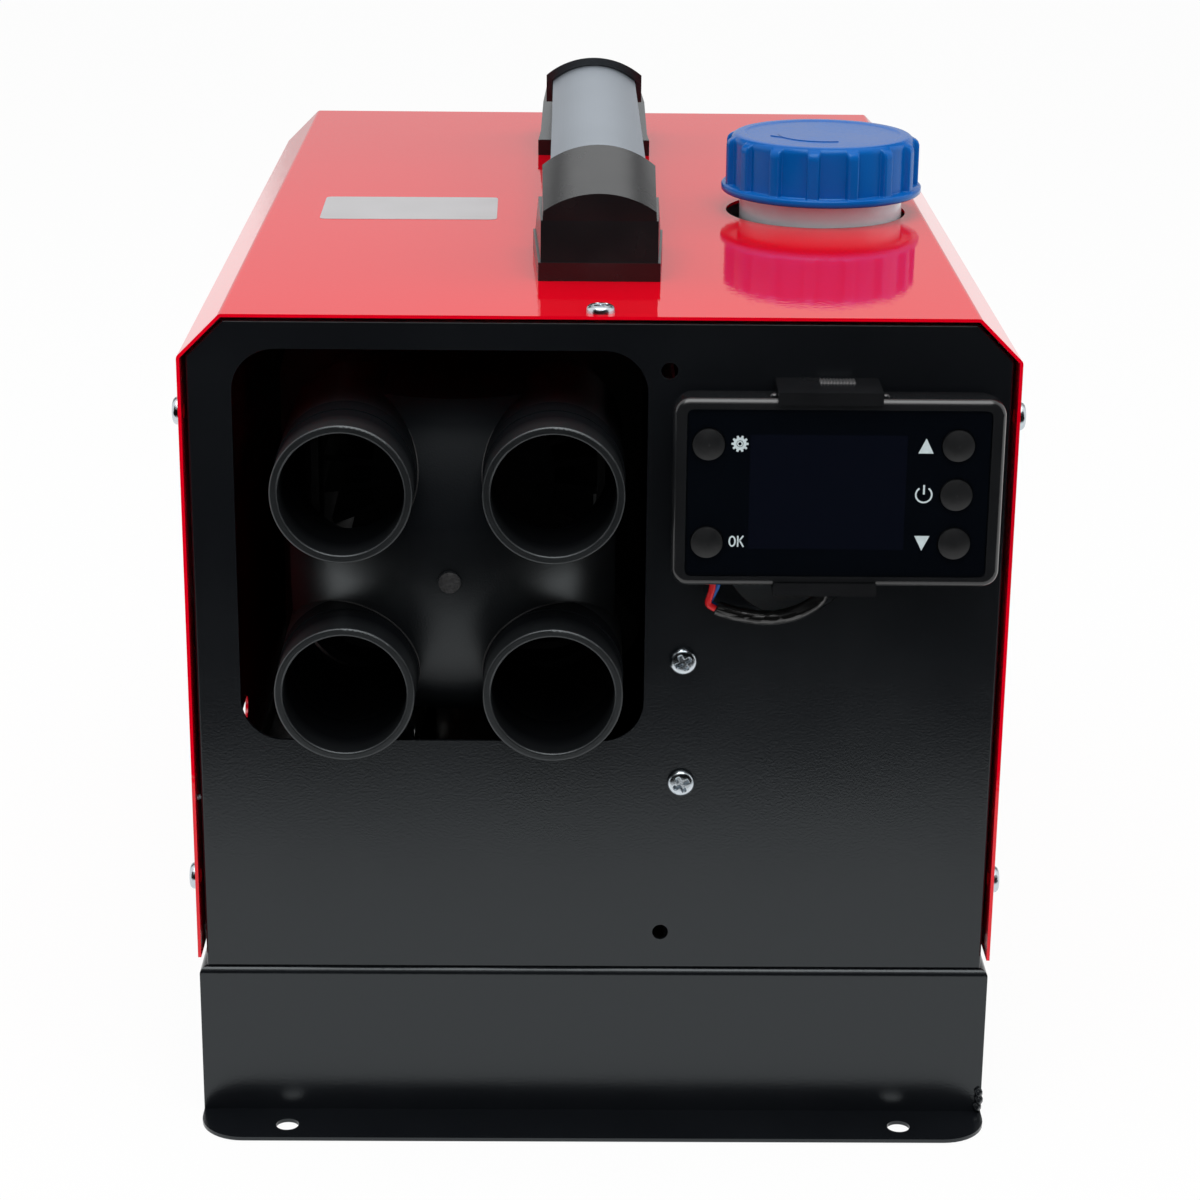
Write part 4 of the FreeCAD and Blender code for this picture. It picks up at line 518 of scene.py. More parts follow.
def ring_plate(inner: np.ndarray, outer: np.ndarray, thick: float) -> Surface:
    """A flat ring between two outlines of as many points, with square edges.

    Args:
        inner: Points of the inner outline.
        outer: Points of the outer outline.
        thick: The ring's thickness.

    Returns:
        The ring, its back on z = 0.
    """
    levels = (0.0, thick, thick, 0.0, 0.0)
    rings = [np.column_stack([line, np.full(len(line), level)])
             for line, level in zip((inner, inner, outer, outer, inner), levels)]
    return skin(np.stack(rings))


def plate(outline: np.ndarray, thick: float) -> Surface:
    """A thin plate: a ring whose inner outline is the outer one, shrunk to a pinprick."""
    return ring_plate(outline * PIN_SHARE, outline, thick)


def band(path: np.ndarray, width: float, thick: float) -> Surface:
    """A flat stroke: a rectangle carried along a path in the plane.

    At each point the sides lie half the width along the path's normal, which is its direction
    turned by a right angle.

    Args:
        path: Points of the stroke's middle line.
        width: The stroke's width.
        thick: How high it stands.

    Returns:
        The stroke, closed at both ends, its back on z = 0.
    """
    way = np.gradient(path, axis=0)
    way /= np.linalg.norm(way, axis=1, keepdims=True)
    side = np.stack([-way[:, 1], way[:, 0]], -1) * width / 2
    edges = np.stack([path - side, path - side, path + side, path + side], 1)
    levels = np.array([0.0, thick, thick, 0.0])[None, :, None]
    rows = np.concatenate([edges, np.broadcast_to(levels, (len(path), 4, 1))], -1)
    ends = np.stack([rows[0].mean(0), rows[-1].mean(0)])[:, None].repeat(4, 1)
    return skin(np.concatenate([ends[:1], rows, ends[1:]]))


def polar(radius: np.ndarray, angle: np.ndarray) -> np.ndarray:
    """Points of a plane from radius and angle."""
    return np.stack([radius * np.cos(angle), radius * np.sin(angle)], -1)


def turns(count: int, start: float = 0.0, end: float = 2.0 * math.pi,
          closed: bool = True) -> np.ndarray:
    """Even angles from start to end, the last left out where the ring closes."""
    return np.linspace(start, end, count, endpoint=not closed)


@dataclass(frozen=True)
class CrossHeadScrew:
    """Pan head with a cross recess."""

    radius: float = 4.25 * MM
    height: float = 2.3 * MM
    slot_width: float = 1.25 * MM
    slot_reach: float = 2.35 * MM
    slot_depth: float = 1.35 * MM
    wall_run: float = 0.3 * MM
    end_run: float = 0.7 * MM
    crowding: float = 1.25
    crown: tuple[int, int] = (5, 3)
    rings: int = 44
    spokes: int = 120

    def surface(self) -> Surface:
        """The head on a polar grid, its rings crowding to the rim.

        The height is a superellipse of the radius, height (1 - (r/R)^5)^(1/3). The cross sinks it
        by its depth where the lesser of |x| and |y| is under half the slot's width and the radius
        is under the slot's reach, both with soft edges.

        Returns:
            The head, its seat on z = 0.
        """
        share = 1.0 - (1.0 - np.linspace(0.0, 1.0, self.rings)) ** self.crowding
        radius, angle = np.meshgrid(share * self.radius, turns(self.spokes), indexing="ij")
        x, y = radius * np.cos(angle), radius * np.sin(angle)
        power, root = self.crown
        dome = self.height * (1.0 - (radius / self.radius) ** power).clip(0.0) ** (1.0 / root)
        narrow = np.minimum(np.abs(x), np.abs(y))
        wall = ((self.slot_width / 2 - narrow) / self.wall_run + 0.5).clip(0.0, 1.0)
        reach = ((self.slot_reach - radius) / self.end_run + 0.5).clip(0.0, 1.0)
        sunk = self.slot_depth * wall * reach
        return skin(np.stack([x, y, dome - sunk], -1))


def lump(half: Point, waves: Waves = (0.0, 1.0, 1.0)) -> Surface:
    """A rounded lump: an ellipsoid whose radius swells and shrinks in a few waves.

    The radius is times 1 + depth sin(around a + start) sin(along h) sin(h), where a runs round and
    h from pole to pole.

    Args:
        half: Half its size along x, y and z.
        waves: Depth of the ripple, ripples round and ripples from pole to pole.

    Returns:
        The lump about its own middle.
    """
    rows, columns = LUMP_GRID
    height, angle = np.meshgrid(np.linspace(0.0, math.pi, rows), turns(columns), indexing="ij")
    depth, around, along = waves
    ripple = np.sin(around * angle + LUMP_START) * np.sin(along * height)
    swell = 1.0 + depth * ripple * np.sin(height)
    shape = np.concatenate([polar(np.sin(height), angle), np.cos(height)[..., None]], -1)
    return skin(shape * swell[..., None] * np.array(half))


@dataclass
class SubAssembly:
    """A group of solids that is dressed together, with the pieces added to it."""

    finishes: ClassVar[dict[Finish, list[str]]] = {}

    def build(self) -> list[Piece]:
        """Make the added pieces."""
        return []

    def dress(self) -> None:
        """Give each solid its finish."""
        for finish, nodes in self.finishes.items():
            for node in nodes:
                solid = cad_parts[node]
                solid.data.materials.clear()
                solid.data.materials.append(finish.material())
                LOG.info("solid %s is finished as %s", node, finish.name)


@dataclass
class Casing(SubAssembly):
    """Folded sheet case with its screws, edge seals and the sticker on top."""

    finishes = {
        RED_ENAMEL: ["cover"], BLACK_POWDER: ["base_tray", "front_panel", "rear_panel"],
        BLACK_RUBBER: ["rear_gland"], ZINC: ["cover_screws", "panel_screws", "floor_screws"]}

    face: float = -181.5 * MM
    side: float = 125.0 * MM
    top: float = 262.0 * MM
    screw_y: float = 176.5 * MM
    side_screws: Pair = (80.0 * MM, 231.0 * MM)
    panel_screw_x: float = 26.2 * MM
    panel_screws: Pair = (114.5 * MM, 154.5 * MM)
    cross_turn: float = 0.5
    sticker_middle: Pair = (-64.0 * MM, -21.5 * MM)
    sticker_half: Pair = (30.0 * MM, 19.5 * MM)
    sticker_power: float = 30.0
    sticker_gauge: float = 0.12 * MM
    sticker_slant: Pair = (0.9999, 0.012)
    seal_half: float = 150.0 * MM
    seal_span: Pair = (51.3 * MM, 57.3 * MM)
    seal_gauge: float = 0.5 * MM
    seal_inset: float = 1.55 * MM
    weld_x: tuple[float, ...] = (123.6 * MM, 124.0 * MM, 123.8 * MM)
    weld_y: tuple[float, ...] = (-182.6 * MM, -182.9 * MM, -182.7 * MM)
    weld_z: tuple[float, ...] = (3.0 * MM, 5.6 * MM, 8.0 * MM)
    weld_half: Point = (1.3 * MM, 1.5 * MM, 1.9 * MM)
    weld_waves: Waves = (0.18, 3.0, 4.0)

    def build(self) -> list[Piece]:
        """Make the screw heads, the sticker, the weld at the tray's corner and the edge seals.

        Returns:
            The added pieces.
        """
        head = CrossHeadScrew().surface()
        along, over = math.cos(self.cross_turn), math.sin(self.cross_turn)
        ends = (-self.screw_y, self.screw_y)
        panel = [head.moved((self.panel_screw_x, self.face, z), (along, 0, over),
                            (-over, 0, along), AHEAD) for z in self.panel_screws]
        panel_heads = make_piece("panel_screw_heads", panel, ZINC)
        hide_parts("panel_screws")
        cover = [head.moved((0.0, y, self.top), (along, over, 0), (-over, along, 0)) for y in ends]
        cover += [head.moved((way * self.side, y, z), BACK, UP, (way, 0, 0))
                  for way in (-1, 1) for y in ends for z in self.side_screws]
        cover_heads = make_piece("cover_screw_heads", cover, ZINC)
        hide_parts("cover_screws")
        return [panel_heads, cover_heads, self.sticker(), self.weld(), self.seals()]

    def sticker(self) -> Piece:
        """The blank sticker: a plate whose outline is a superellipse of high power.

        Returns:
            The sticker on the cover's top.
        """
        angle = turns(OUTLINE_STEPS)
        wide, deep = self.sticker_half
        power = self.sticker_power
        sides = np.abs(np.cos(angle) / wide) ** power + np.abs(np.sin(angle) / deep) ** power
        sheet = plate(polar(sides ** (-1 / power), angle), self.sticker_gauge)
        along, over = self.sticker_slant
        spot = sheet.moved((*self.sticker_middle, self.top), (along, over, 0), (-over, along, 0))
        return make_piece("blank_sticker", [spot], STICKER_PAPER, smooth=False)

    def seals(self) -> Piece:
        """Strips of edge seal between the tray's side lips and the cover, as long thin plates.

        Returns:
            The two strips, as one piece.
        """
        low, high = self.seal_span
        half = np.array([self.seal_half, (high - low) / 2])
        strip = plate(np.array([(-1, -1), (1, -1), (1, 1), (-1, 1)]) * half, self.seal_gauge)
        out = self.side - self.seal_inset
        strips = [strip.moved((way * out, 0.0, (low + high) / 2), (0, way, 0), UP, (way, 0, 0))
                  for way in (-1, 1)]
        return make_piece("edge_seals", strips, BLACK_RUBBER, smooth=False)

    def weld(self) -> Piece:
        """A few run-on weld lumps at the tray's lower front corner."""
        lumps = [lump(self.weld_half, self.weld_waves).moved(spot)
                 for spot in zip(self.weld_x, self.weld_y, self.weld_z)]
        return make_piece("corner_weld", lumps, BLACK_POWDER)


@dataclass
class CarryHandle(SubAssembly):
    """Aluminium grip between two moulded mounts."""

    finishes = {
        GRIP_ALUMINIUM: ["handle_grip"], MOUNT_PLASTIC: ["handle_front_mount", "handle_rear_mount"],
        ZINC: ["handle_screws"]}


@dataclass
class OutletHood(SubAssembly):
    """Domed hood with four collars, their root beads in a lighter grey as a painted highlight, and
    the scar of its moulding gate.
    """

    finishes = {
        HOOD_PLASTIC: ["outlet_hood"], COLLAR_PLASTIC: ["outlet_collars"]}

    middle: Point = (-44.6 * MM, -190.25 * MM, 181.9 * MM)
    gate_radius: float = 3.4 * MM
    gate_rise: Pair = (0.35 * MM, 0.1 * MM)
    gate_power: int = 6
    gate_waves: tuple[tuple[float, ...], ...] = (
        (1.0, 9.0, 2.0, 0.0, 0.0), (1.0, -4.0, 11.0, 0.0, 1.0), (0.6, 0.0, 0.0, 23.0, 3.0))
    gate_grid: Grid = (26, 72)
    dome: Pair = (62.0 * MM, -127.5 * MM)
    collar_offset: float = 31.1 * MM
    root_radius: float = 21.5 * MM
    root_bead: float = 0.3 * MM
    root_sweep: float = math.radians(78.0)
    root_grid: Grid = (90, 12)

    def build(self) -> list[Piece]:
        """Make the gate scar and the beads round the collars' roots."""
        beads = [self.root(across, up) for across in (-1, 1) for up in (-1, 1)]
        return [make_piece("gate_scar", [self.scar()], GATE_GREY),
                # The beads take the lighter gate grey so they show as a bright line: a painted
                # highlight on a small real bead.
                make_piece("collar_highlight_beads", beads, GATE_GREY)]

    def scar(self) -> Surface:
        """The gate's scar: a disc whose height falls to nothing at its rim, as 1 - r^6.

        Three crossed waves roughen it, each weight sin(a x + b y + c x y + start).

        Returns:
            The scar in the hood's middle.
        """
        rings, spokes = self.gate_grid
        radius, angle = np.meshgrid(np.linspace(0.0, 1.0, rings), turns(spokes), indexing="ij")
        x, y = radius * np.cos(angle), radius * np.sin(angle)
        rough = sum(weight * np.sin(a * x + b * y + c * x * y + start)
                    for weight, a, b, c, start in self.gate_waves)
        height, depth = self.gate_rise
        rise = (height + depth * rough) * (1.0 - radius ** self.gate_power)
        disc = skin(np.stack([x * self.gate_radius, y * self.gate_radius, rise], -1))
        return disc.moved(self.middle, RIGHT, UP, AHEAD)

    def root(self, across: int, up: int) -> Surface:
        """The fine bead where a collar leaves the dome: a circle carried along the root.

        The root lies on the collar's cylinder, on the side next to the hood's middle, at the dome's
        y, which is its middle less sqrt(radius^2 - x^2 - z^2). The circle shrinks to a point at
        both ends as sqrt(1 - t^2).

        Args:
            across: Which side of the hood the collar is on, -1 or 1.
            up: Whether the collar is below or above, -1 or 1.

        Returns:
            The bead in its place.
        """
        steps, spokes = self.root_grid
        share = np.linspace(-1.0, 1.0, steps)
        angle = math.atan2(-up, -across) + share * self.root_sweep
        side = np.stack([np.cos(angle), np.zeros(steps), np.sin(angle)], -1)
        line = self.root_radius * side + self.collar_offset * np.array([across, 0.0, up])
        radius, middle = self.dome
        line[:, 1] = middle - np.sqrt(radius ** 2 - line[:, 0] ** 2 - line[:, 2] ** 2)
        line += np.array([self.middle[0], 0.0, self.middle[2]])
        size = self.root_bead * np.sqrt(1.0 - share ** 2)[:, None, None]
        turn = turns(spokes)[None, :, None]
        circle = np.cos(turn) * side[:, None] + np.sin(turn) * np.array(AHEAD)
        return skin(line[:, None] + size * circle)


@dataclass
class HeaterInside(SubAssembly):
    """The heater itself: jacket, exchanger, burner, motor and blower."""

    finishes = {
        SHELL_PLASTIC: ["heater_upper_shell", "heater_lower_shell", "combustion_impeller",
                        "blower_wheel"],
        CAST_ALUMINIUM: ["heat_exchanger", "combustion_housing", "combustion_air_pipe"],
        BURNER_STEEL: ["burner_tube", "glow_plug", "rotor_shaft", "exhaust_pipe"],
        ZINC: ["motor_can", "motor_bearings", "mount_nuts"],
        BLACK_PLASTIC: ["intake_grille", "overheat_sensor"], CIRCUIT_BOARD: ["control_board"],
        BLACK_RUBBER: ["mount_gasket"], BLACK_POWDER: ["heater_bracket"]}


@dataclass
class FuelSystem(SubAssembly):
    """Tank, cap and what leads the fuel to the burner."""

    finishes = {
        TANK_PLASTIC: ["fuel_tank"], CAP_PLASTIC: ["fuel_cap"],
        BLACK_RUBBER: ["cap_seal", "pump_clamp"], SHIELD_ALUMINIUM: ["heat_shield"],
        FITTING_BRASS: ["fuel_fitting"], FILTER_PLASTIC: ["fuel_filter"], ZINC: ["fuel_pump"],
        LINE_PLASTIC: ["fuel_line_supply", "fuel_line_link", "fuel_line_feed"]}

    cap_middle: Pair = (77.3 * MM, -21.7 * MM)
    cap_top: float = 289.1 * MM
    cap_sink: float = 0.35 * MM
    cap_low: float = 269.5 * MM
    cap_inside: float = 286.5 * MM
    cap_bore: float = 28.5 * MM
    cap_radius: float = 31.2 * MM
    cap_edge: float = 2.4 * MM
    cap_soft: float = 0.5 * MM
    cap_ring: Pair = (34.3 * MM, 2.6 * MM)
    dish_shares: tuple[float, ...] = (0.87, 0.86, 0.84, 0.83)
    edge_rows: int = 9
    wall_rows: int = 16
    cap_spokes: int = 900
    rib_count: int = 15
    rib_start: float = math.radians(-99.7)
    rib_size: Pair = (4.4 * MM, 2.0 * MM)
    rib_power: int = 7
    rib_fade: Pair = (1.0 * MM, 2.0 * MM)
    arrow_radius: float = 15.5 * MM
    arrow_width: float = 1.0 * MM
    arrow_rise: float = 0.25 * MM
    arrow_head: float = 3.2 * MM
    arrow_span: Pair = (math.radians(195), math.radians(285))
    arrow_steps: int = 60

    def build(self) -> list[Piece]:
        """Make the cap's ribbed shell, and the raised arrow that shows which way it opens.

        Returns:
            The shell and the arrow, which ride on the cap.
        """
        ribbed = self.cap().moved((*self.cap_middle, 0.0))
        shell = make_piece("cap_shell", [ribbed], CAP_PLASTIC, "cap")
        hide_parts("fuel_cap")
        place = (*self.cap_middle, self.cap_top - self.cap_sink)
        parts = [part.moved(place) for part in self.arrow()]
        arrow = make_piece("cap_arrow", parts, CAP_PLASTIC, "cap", smooth=False)
        return [shell, arrow]

    def arrow(self) -> list[Surface]:
        """The arrow: a bow of even width about the cap's axis, and a pointed plate at its start.

        Returns:
            The bow and the point.
        """
        steps, rise = self.arrow_steps, self.arrow_rise
        angle = turns(steps, *self.arrow_span, False)
        bow = band(polar(np.full(steps, self.arrow_radius), angle), self.arrow_width, rise)
        tip = polar(np.array([self.arrow_radius]), angle[:1])[0]
        head = plate(polar(np.full(3, self.arrow_head), turns(3, angle[0] - math.pi / 2)), rise)
        return [bow, head.moved((*tip, 0.0))]

    def cap(self) -> Surface:
        """The cap on a grid of profile by angle.

        The profile is turned about the axis. Between the ring and the top's round edge each rib
        adds reach (1 - |s|^7) to the radius, where s runs from -1 to 1 across the rib. It fades out
        over the last millimetres below the top.

        Returns:
            The cap's closed shell, about its own axis.
        """
        ring, ring_high = self.cap_ring
        low, top, outer = self.cap_low, self.cap_top, self.cap_radius
        edge, soft = self.cap_edge, self.cap_soft
        shelf, dish = low + ring_high, top - self.cap_sink
        bend = turns(self.edge_rows, 0.0, math.pi / 2, False)
        corner = polar(np.full(self.edge_rows, edge), bend) + np.array([outer - edge, top - edge])
        wall = np.linspace(shelf + soft, top - edge, self.wall_rows)
        reaches = [share * outer for share in self.dish_shares]
        rows = np.concatenate([
            [(PIN_RADIUS, self.cap_inside), (self.cap_bore, self.cap_inside), (self.cap_bore, low),
             (ring - soft, low), (ring, low + soft), (ring, shelf - soft), (ring - soft, shelf),
             (outer, shelf)],
            np.column_stack([np.full(self.wall_rows, outer), wall]), corner[1:],
            np.column_stack([reaches, (top, top, dish, dish)]), [(PIN_RADIUS, dish)]])
        angle = turns(self.cap_spokes)
        pitch = 2.0 * math.pi / self.rib_count
        across = (angle - self.rib_start + pitch / 2) % pitch - pitch / 2
        width, reach = self.rib_size
        bump = reach * (1.0 - np.abs(across * outer / (width / 2)) ** self.rib_power).clip(0.0)
        gap, run = self.rib_fade
        fade = ((top - gap - rows[:, 1]) / run).clip(0.0, 1.0) ** 0.5
        outside = (rows[:, 0] > outer - edge / 2) & (rows[:, 0] < ring - soft - PIN_RADIUS)
        ribbed = fade * outside * (rows[:, 1] > shelf - PIN_RADIUS)
        radius = rows[:, :1] + ribbed[:, None] * bump[None]
        height = np.broadcast_to(rows[:, 1:], radius.shape)
        return skin(np.concatenate([polar(radius, angle), height[..., None]], -1))


@dataclass
class Controller(SubAssembly):
    """Panel controller with its clips, window, printed signs and buttons."""

    finishes = {
        BEZEL_PLASTIC: ["controller_bezel"], WINDOW_PLASTIC: ["controller_window"],
        BLACK_PLASTIC: ["controller_case", "controller_bracket"],
        CIRCUIT_BOARD: ["controller_board"], DISPLAY_GLASS: ["display_module"],
        BUTTON_PLASTIC: ["button_settings", "button_ok", "button_up", "button_power",
                        "button_down"]}

    sign_face: float = -197.29 * MM
    sign_thick: float = 0.05 * MM
    sign_names: tuple[str, ...] = ("settings", "ok", "power", "up", "down")
    sign_places: tuple[Pair, ...] = ((40.9, 227.7), (40.6, 197.8), (95.4, 212.5), (95.5, 227.3),
                                     (95.4, 197.6))
    gear_teeth: int = 10
    gear_flank: float = 6.0
    gear_hole: float = 1.02 * MM
    gear_foot: float = 1.9 * MM
    gear_tooth: float = 0.6 * MM
    gear_eye: Pair = (0.5 * MM, 0.85 * MM)
    letter_steps: int = 96
    letter_inner: Pair = (0.62 * MM, 1.22 * MM)
    letter_outer: Pair = (1.08 * MM, 1.7 * MM)
    letter_shift: Pair = (-1.3 * MM, 0.0)
    letter_strokes: tuple[tuple[float, ...], ...] = (
        (0.35, -1.7, 0.35, 1.7), (0.45, -0.25, 1.95, 1.7), (0.85, 0.3, 2.05, -1.7))
    letter_width: float = 0.46 * MM
    stroke_steps: int = 8
    power_radius: float = 2.35 * MM
    power_span: Pair = (math.radians(125), math.radians(415))
    power_steps: int = 90
    power_width: float = 0.5 * MM
    power_bar: Pair = (0.1 * MM, 3.0 * MM)
    power_bar_width: float = 0.55 * MM
    pointer_half: float = 2.25 * MM
    pointer_heights: Pair = (-2.2 * MM, 2.4 * MM)
    pointer_steps: int = 12
    pad_middle: Point = (69.8 * MM, -186.5 * MM, 243.75 * MM)
    pad_half: Pair = (5.3 * MM, 2.4 * MM)
    pad_rise: float = 0.35 * MM
    pad_ridges: float = 11.0
    pad_grid: Grid = (121, 9)
    pad_drop: float = 1e3
    ear_x: Pair = (50.7 * MM, 83.3 * MM)
    ear_y: float = -194.5 * MM
    ear_z: float = 241.6 * MM
    ear_half: Point = (1.5 * MM, 1.6 * MM, 1.0 * MM)

    def build(self) -> list[Piece]:
        """Make the printed signs, the ridged pad on the upper clip and the stops at its ends.

        Returns:
            The added pieces.
        """
        signs = (self.gear(), self.letters(), self.power(), [self.pointer(1.0)],
                 [self.pointer(-1.0)])
        pieces = []
        for name, (x, z), parts in zip(self.sign_names, self.sign_places, signs):
            spots = [part.moved((x * MM, self.sign_face, z * MM), RIGHT, UP, AHEAD)
                     for part in parts]
            pieces.append(make_piece(f"sign_{name}", spots, ICON_INK,
                                     smooth=False))
        return pieces + [self.pad(), self.ears()]

    def gear(self) -> list[Surface]:
        """Toothed ring with a small ring inside it: the rim steps out ten times round.

        Returns:
            The toothed ring and the small one.
        """
        angle = turns(OUTLINE_STEPS)
        step = (np.cos(self.gear_teeth * angle) * self.gear_flank + 0.5).clip(0.0, 1.0)
        rim = self.gear_foot + self.gear_tooth * step
        rings = ((self.gear_hole, rim), self.gear_eye)
        even = np.ones(OUTLINE_STEPS)
        return [ring_plate(polar(inner * even, angle), polar(outer * even, angle), self.sign_thick)
                for inner, outer in rings]

    def letters(self) -> list[Surface]:
        """The two letters: an oval ring, and three straight strokes.

        Returns:
            The ring and the strokes.
        """
        oval = polar(np.ones(self.letter_steps), turns(self.letter_steps))
        inner, outer = [oval * np.array(half) + np.array(self.letter_shift)
                        for half in (self.letter_inner, self.letter_outer)]
        strokes = [band(np.linspace(ends[:2], ends[2:], self.stroke_steps) * MM,
                        self.letter_width, self.sign_thick) for ends in self.letter_strokes]
        return [ring_plate(inner, outer, self.sign_thick)] + strokes

    def power(self) -> list[Surface]:
        """Broken ring with an upright bar in its gap.

        Returns:
            The ring and the bar.
        """
        angle = turns(self.power_steps, *self.power_span, False)
        ring = polar(np.full(self.power_steps, self.power_radius), angle)
        low, high = self.power_bar
        bar = np.linspace((0.0, low), (0.0, high), self.stroke_steps)
        return [band(ring, self.power_width, self.sign_thick),
                band(bar, self.power_bar_width, self.sign_thick)]

    def pointer(self, way: float) -> Surface:
        """Solid triangle, its three sides cut into even steps.

        Args:
            way: Whether it points up, 1, or down, -1.

        Returns:
            The triangle about its own middle.
        """
        foot, tip = (height * way for height in self.pointer_heights)
        corners = np.array([(-self.pointer_half, foot), (self.pointer_half, foot), (0.0, tip)])
        sides = [np.linspace(start, end, self.pointer_steps, endpoint=False)
                 for start, end in zip(corners, np.roll(corners, -1, axis=0))]
        return plate(np.concatenate(sides), self.sign_thick)

    def ears(self) -> Piece:
        """Two small stops on the bezel, one at each end of the upper clip."""
        stops = [lump(self.ear_half).moved((x, self.ear_y, self.ear_z)) for x in self.ear_x]
        return make_piece("clip_ears", stops, BEZEL_PLASTIC)

    def pad(self) -> Piece:
        """Ridged thumb pad: a sheet whose height runs in even ridges, and drops at its rim.

        Returns:
            The pad on the upper clip.
        """
        across, deep = self.pad_grid
        x, y = np.meshgrid(np.linspace(-1.0, 1.0, across), np.linspace(-1.0, 1.0, deep),
                           indexing="ij")
        ridges = 0.5 + 0.5 * np.cos(x * math.pi * self.pad_ridges)
        rim = ((1.0 - np.maximum(np.abs(x), np.abs(y))) * self.pad_drop).clip(0.0, 1.0)
        height = self.pad_rise * (1.0 + ridges) * rim
        sheet = skin(np.stack([x * self.pad_half[0], y * self.pad_half[1], height], -1), False)
        return make_piece("clip_pad", [sheet.moved(self.pad_middle)], PAD_GREY)


@dataclass
class Wiring(SubAssembly):
    """Sleeved cable that sags below the controller, its wires and plug."""

    finishes = {
        SLEEVE_RUBBER: ["controller_cable"], WIRE_RED: ["wire_red"], WIRE_BLUE: ["wire_blue"],
        BLACK_PLASTIC: ["harness_plug"]}

    sleeve: float = 4.6 * MM
    length: float = 62.2 * MM
    route: tuple[Point, ...] = ((35.5, -187.2, 173.6), (43.5, -187.4, 170.8),
                                (57.5, -187.4, 170.4), (69.5, -186.5, 177.5),
                                (66.0, -172.0, 184.0), (57.0, -163.0, 187.0))
    order: int = 3
    steps: int = 24
    roundness: int = 6

    def build(self) -> list[Piece]:
        """Make the sleeve as one smooth spline, led by the route's control points.

        Returns:
            The sleeve.
        """
        curve = bpy.data.curves.new("cable_sleeve", "CURVE")
        curve.dimensions = "3D"
        spline = curve.splines.new("NURBS")
        spline.points.add(len(self.route) - 1)
        route = np.column_stack([np.array(self.route) * MM, np.ones(len(self.route))])
        spline.points.foreach_set("co", route.ravel())
        spline.order_u = self.order
        spline.use_endpoint_u = True
        spline.resolution_u = self.steps
        curve.bevel_depth = self.sleeve / 2
        curve.bevel_resolution = self.roundness
        curve.use_fill_caps = True
        sleeve = settle(placed("cable_sleeve", curve), SLEEVE_RUBBER, "casing")
        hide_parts("controller_cable")
        return [sleeve]


@dataclass(frozen=True)
class SoftBox:
    """A soft rectangular lamp: where it hangs, what it faces, its sides and its watts."""

    name: str
    place: Point
    aim: Point
    size: Pair
    power: float
    mirrored: bool = True

    def hang(self) -> None:
        """Add the lamp, turned to what it faces, and hide it from reflections if it asks that."""
        data = bpy.data.lights.new(self.name, "AREA")
        data.shape = "RECTANGLE"
        data.size, data.size_y = self.size
        data.energy = self.power
        lamp = placed(self.name, data)
        lamp.location = self.place
        lamp.visible_glossy = self.mirrored
        way = Vector(self.aim) - Vector(self.place)
        lamp.rotation_euler = way.to_track_quat("-Z", "Y").to_euler()


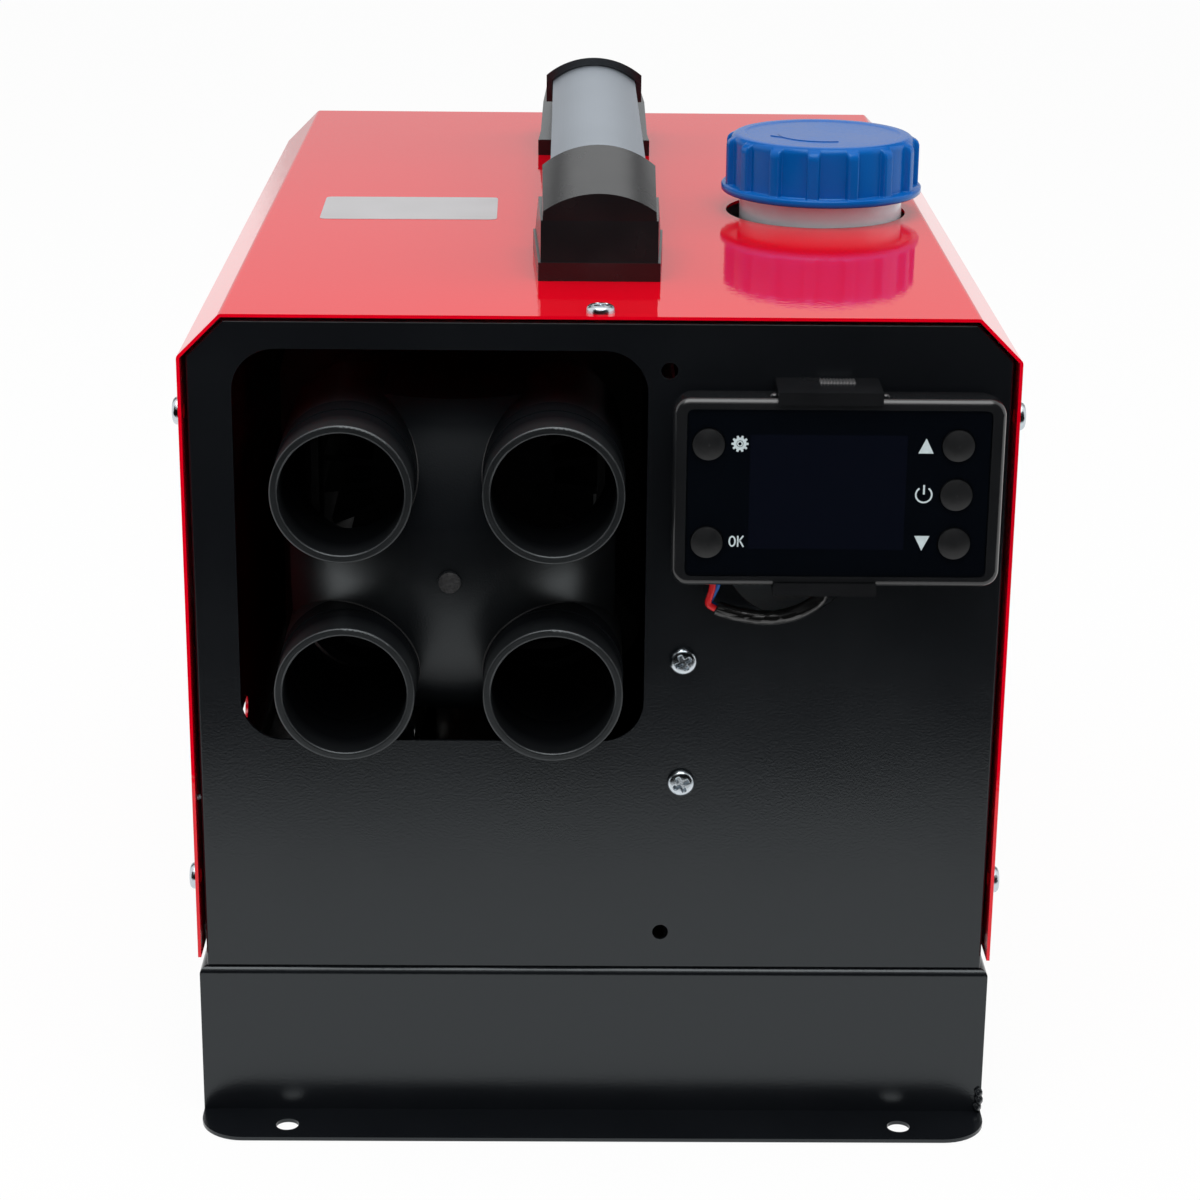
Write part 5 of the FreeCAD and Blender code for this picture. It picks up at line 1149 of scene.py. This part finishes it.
@dataclass
class Studio:
    """Camera, pale floor, soft lamps, and cards that only reflections see."""

    camera_place: Point = (-0.01057, -1.02865, 0.46029)
    lens: float = 88.48
    sensor: float = 36.0
    clip: Pair = (0.01, 100.0)
    pitch: float = 0.3260
    yaw: float = 0.0132
    roll: float = 0.0101
    lit: float = 0.6
    shown: float = 1.0
    floor_half: float = 14.0
    floor_low: float = -0.0004
    floor_tone: float = 0.85
    floor_rough: float = 0.9
    floor_glow: float = 0.95
    card_start: float = -0.46
    card_end: float = -1.9
    card_low: float = 0.0002
    card_height: float = 3.2
    card_half: float = 4.0
    card_tone: float = 0.004
    back_card: float = 2.6
    back_height: float = 1.5
    back_tone: float = 0.61
    side_card: float = 0.9
    side_tone: float = 0.05
    lamps: tuple[SoftBox, ...] = (
        SoftBox("lamp_key", (-0.15, -1.3, 1.25), (0.0, -0.1, 0.2), (1.3, 0.7), 1.5),
        SoftBox("lamp_top", (0.0, -0.5, 1.3), (0.0, -0.1, 0.2), (1.0, 1.0), 9.5),
        SoftBox("lamp_left", (-1.5, 0.25, 0.8), (0.0, 0.0, 0.15), (1.0, 1.2), 5.1, False),
        SoftBox("lamp_right", (1.5, 0.25, 0.8), (0.0, 0.0, 0.15), (1.0, 1.2), 5.1, False))

    def camera(self) -> None:
        """Set the camera at the photograph's place, turned by its yaw, its pitch and its roll."""
        data = bpy.data.cameras.new("camera")
        data.lens = self.lens
        data.sensor_width = self.sensor
        data.clip_start, data.clip_end = self.clip
        eye = placed("camera", data)
        turn = Matrix.Identity(4)
        for angle, axis in ((-self.yaw, "Z"), (math.pi / 2 - self.pitch, "X"), (self.roll, "Z")):
            turn @= Matrix.Rotation(angle, 4, axis)
        eye.matrix_world = Matrix.Translation(self.camera_place) @ turn
        bpy.context.scene.camera = eye

    def world(self) -> None:
        """White surroundings for what is seen, and a softer light for what is lit."""
        world = bpy.data.worlds.new("studio")
        world.use_nodes = True
        graph = Graph(world.node_tree)
        lit = graph.put(graph.tree.nodes["Background"], {"Color": WHITE, "Strength": self.lit})
        shown = graph.add("Background", {"Color": WHITE, "Strength": self.shown})
        graph.blend(graph.seen(), lit, shown, "World Output")
        bpy.context.scene.world = world

    def sheet(self, name: str, spans: Spans, material: bpy.types.Material) -> Piece:
        """A stage sheet, level or upright.

        Args:
            name: The sheet's name.
            spans: Where it starts and ends along x, y and z.
            material: Its material.

        Returns:
            The sheet.
        """
        (left, right), (near, far), (low, high) = spans
        corners = [(left, near, low), (right, near, low), (right, far, high), (left, far, high)]
        mesh = bpy.data.meshes.new(name)
        mesh.from_pydata(corners, [], [(0, 1, 2, 3)])
        mesh.materials.append(material)
        sheet = placed(name, mesh)
        return sheet

    def floor(self) -> None:
        """Pale floor that is white where it is seen, and keeps a soft shadow."""
        material, graph = new_material("floor_white")
        shader = graph.surface({"Base Color": (*(self.floor_tone,) * 3, 1.0),
                                "Roughness": self.floor_rough, "Specular IOR Level": 0.0})
        glow = graph.add("Emission", {"Strength": 1.0})
        share = graph.maths("MULTIPLY", graph.seen(), self.floor_glow)
        graph.blend(share, shader, glow, "Material Output")
        wide = (-self.floor_half, self.floor_half)
        self.sheet("floor", (wide, wide, (self.floor_low, self.floor_low)), material)

    def card(self, name: str, spans: Spans, tone: float) -> None:
        """A sheet of even tone that only reflections see.

        Args:
            name: The card's name.
            spans: Where it starts and ends along x, y and z.
            tone: How bright it is, where 1 is white.
        """
        material, graph = new_material(name)
        graph.surface({"Base Color": BLACK, "Specular IOR Level": 0.0,
                       "Emission Color": WHITE, "Emission Strength": tone})
        card = self.sheet(name, spans, material)
        card.visible_camera = card.visible_diffuse = False
        card.visible_transmission = card.visible_shadow = False

    def cards(self) -> None:
        """Dark cards on the camera's side, a grey one far behind and dark ones above its ends."""
        half, low, top = self.card_half, self.card_low, self.back_height
        across, far, behind = (-half, half), self.card_end, (self.back_card, self.back_card)
        self.card("card_flat", (across, (far, self.card_start), (low, low)), self.card_tone)
        self.card("card_upright", (across, (far, far), (low, self.card_height)), self.card_tone)
        self.card("card_back", (across, behind, (low, top)), self.back_tone)
        for way in (-1, 1):
            end = (way * self.side_card, way * half)
            self.card(f"card_side_{way}", (end, behind, (top, half)), self.side_tone)

    def build(self) -> None:
        """Set up the whole studio."""
        self.camera()
        self.world()
        self.floor()
        self.cards()
        for lamp in self.lamps:
            lamp.hang()
        bpy.context.scene.view_settings.view_transform = "Standard"
        LOG.info("studio is set")


def main() -> None:
    """Build the studio and each sub-assembly in order."""
    logging.basicConfig(level=logging.INFO, format="%(name)s: %(message)s")
    Studio().build()
    for group in (Wiring(), Casing(), CarryHandle(), OutletHood(), HeaterInside(), FuelSystem(),
                  Controller()):
        group.dress()
        pieces = group.build()
        LOG.info("%s adds %d pieces", type(group).__name__, len(pieces))


if __name__ == "__main__":
    main()
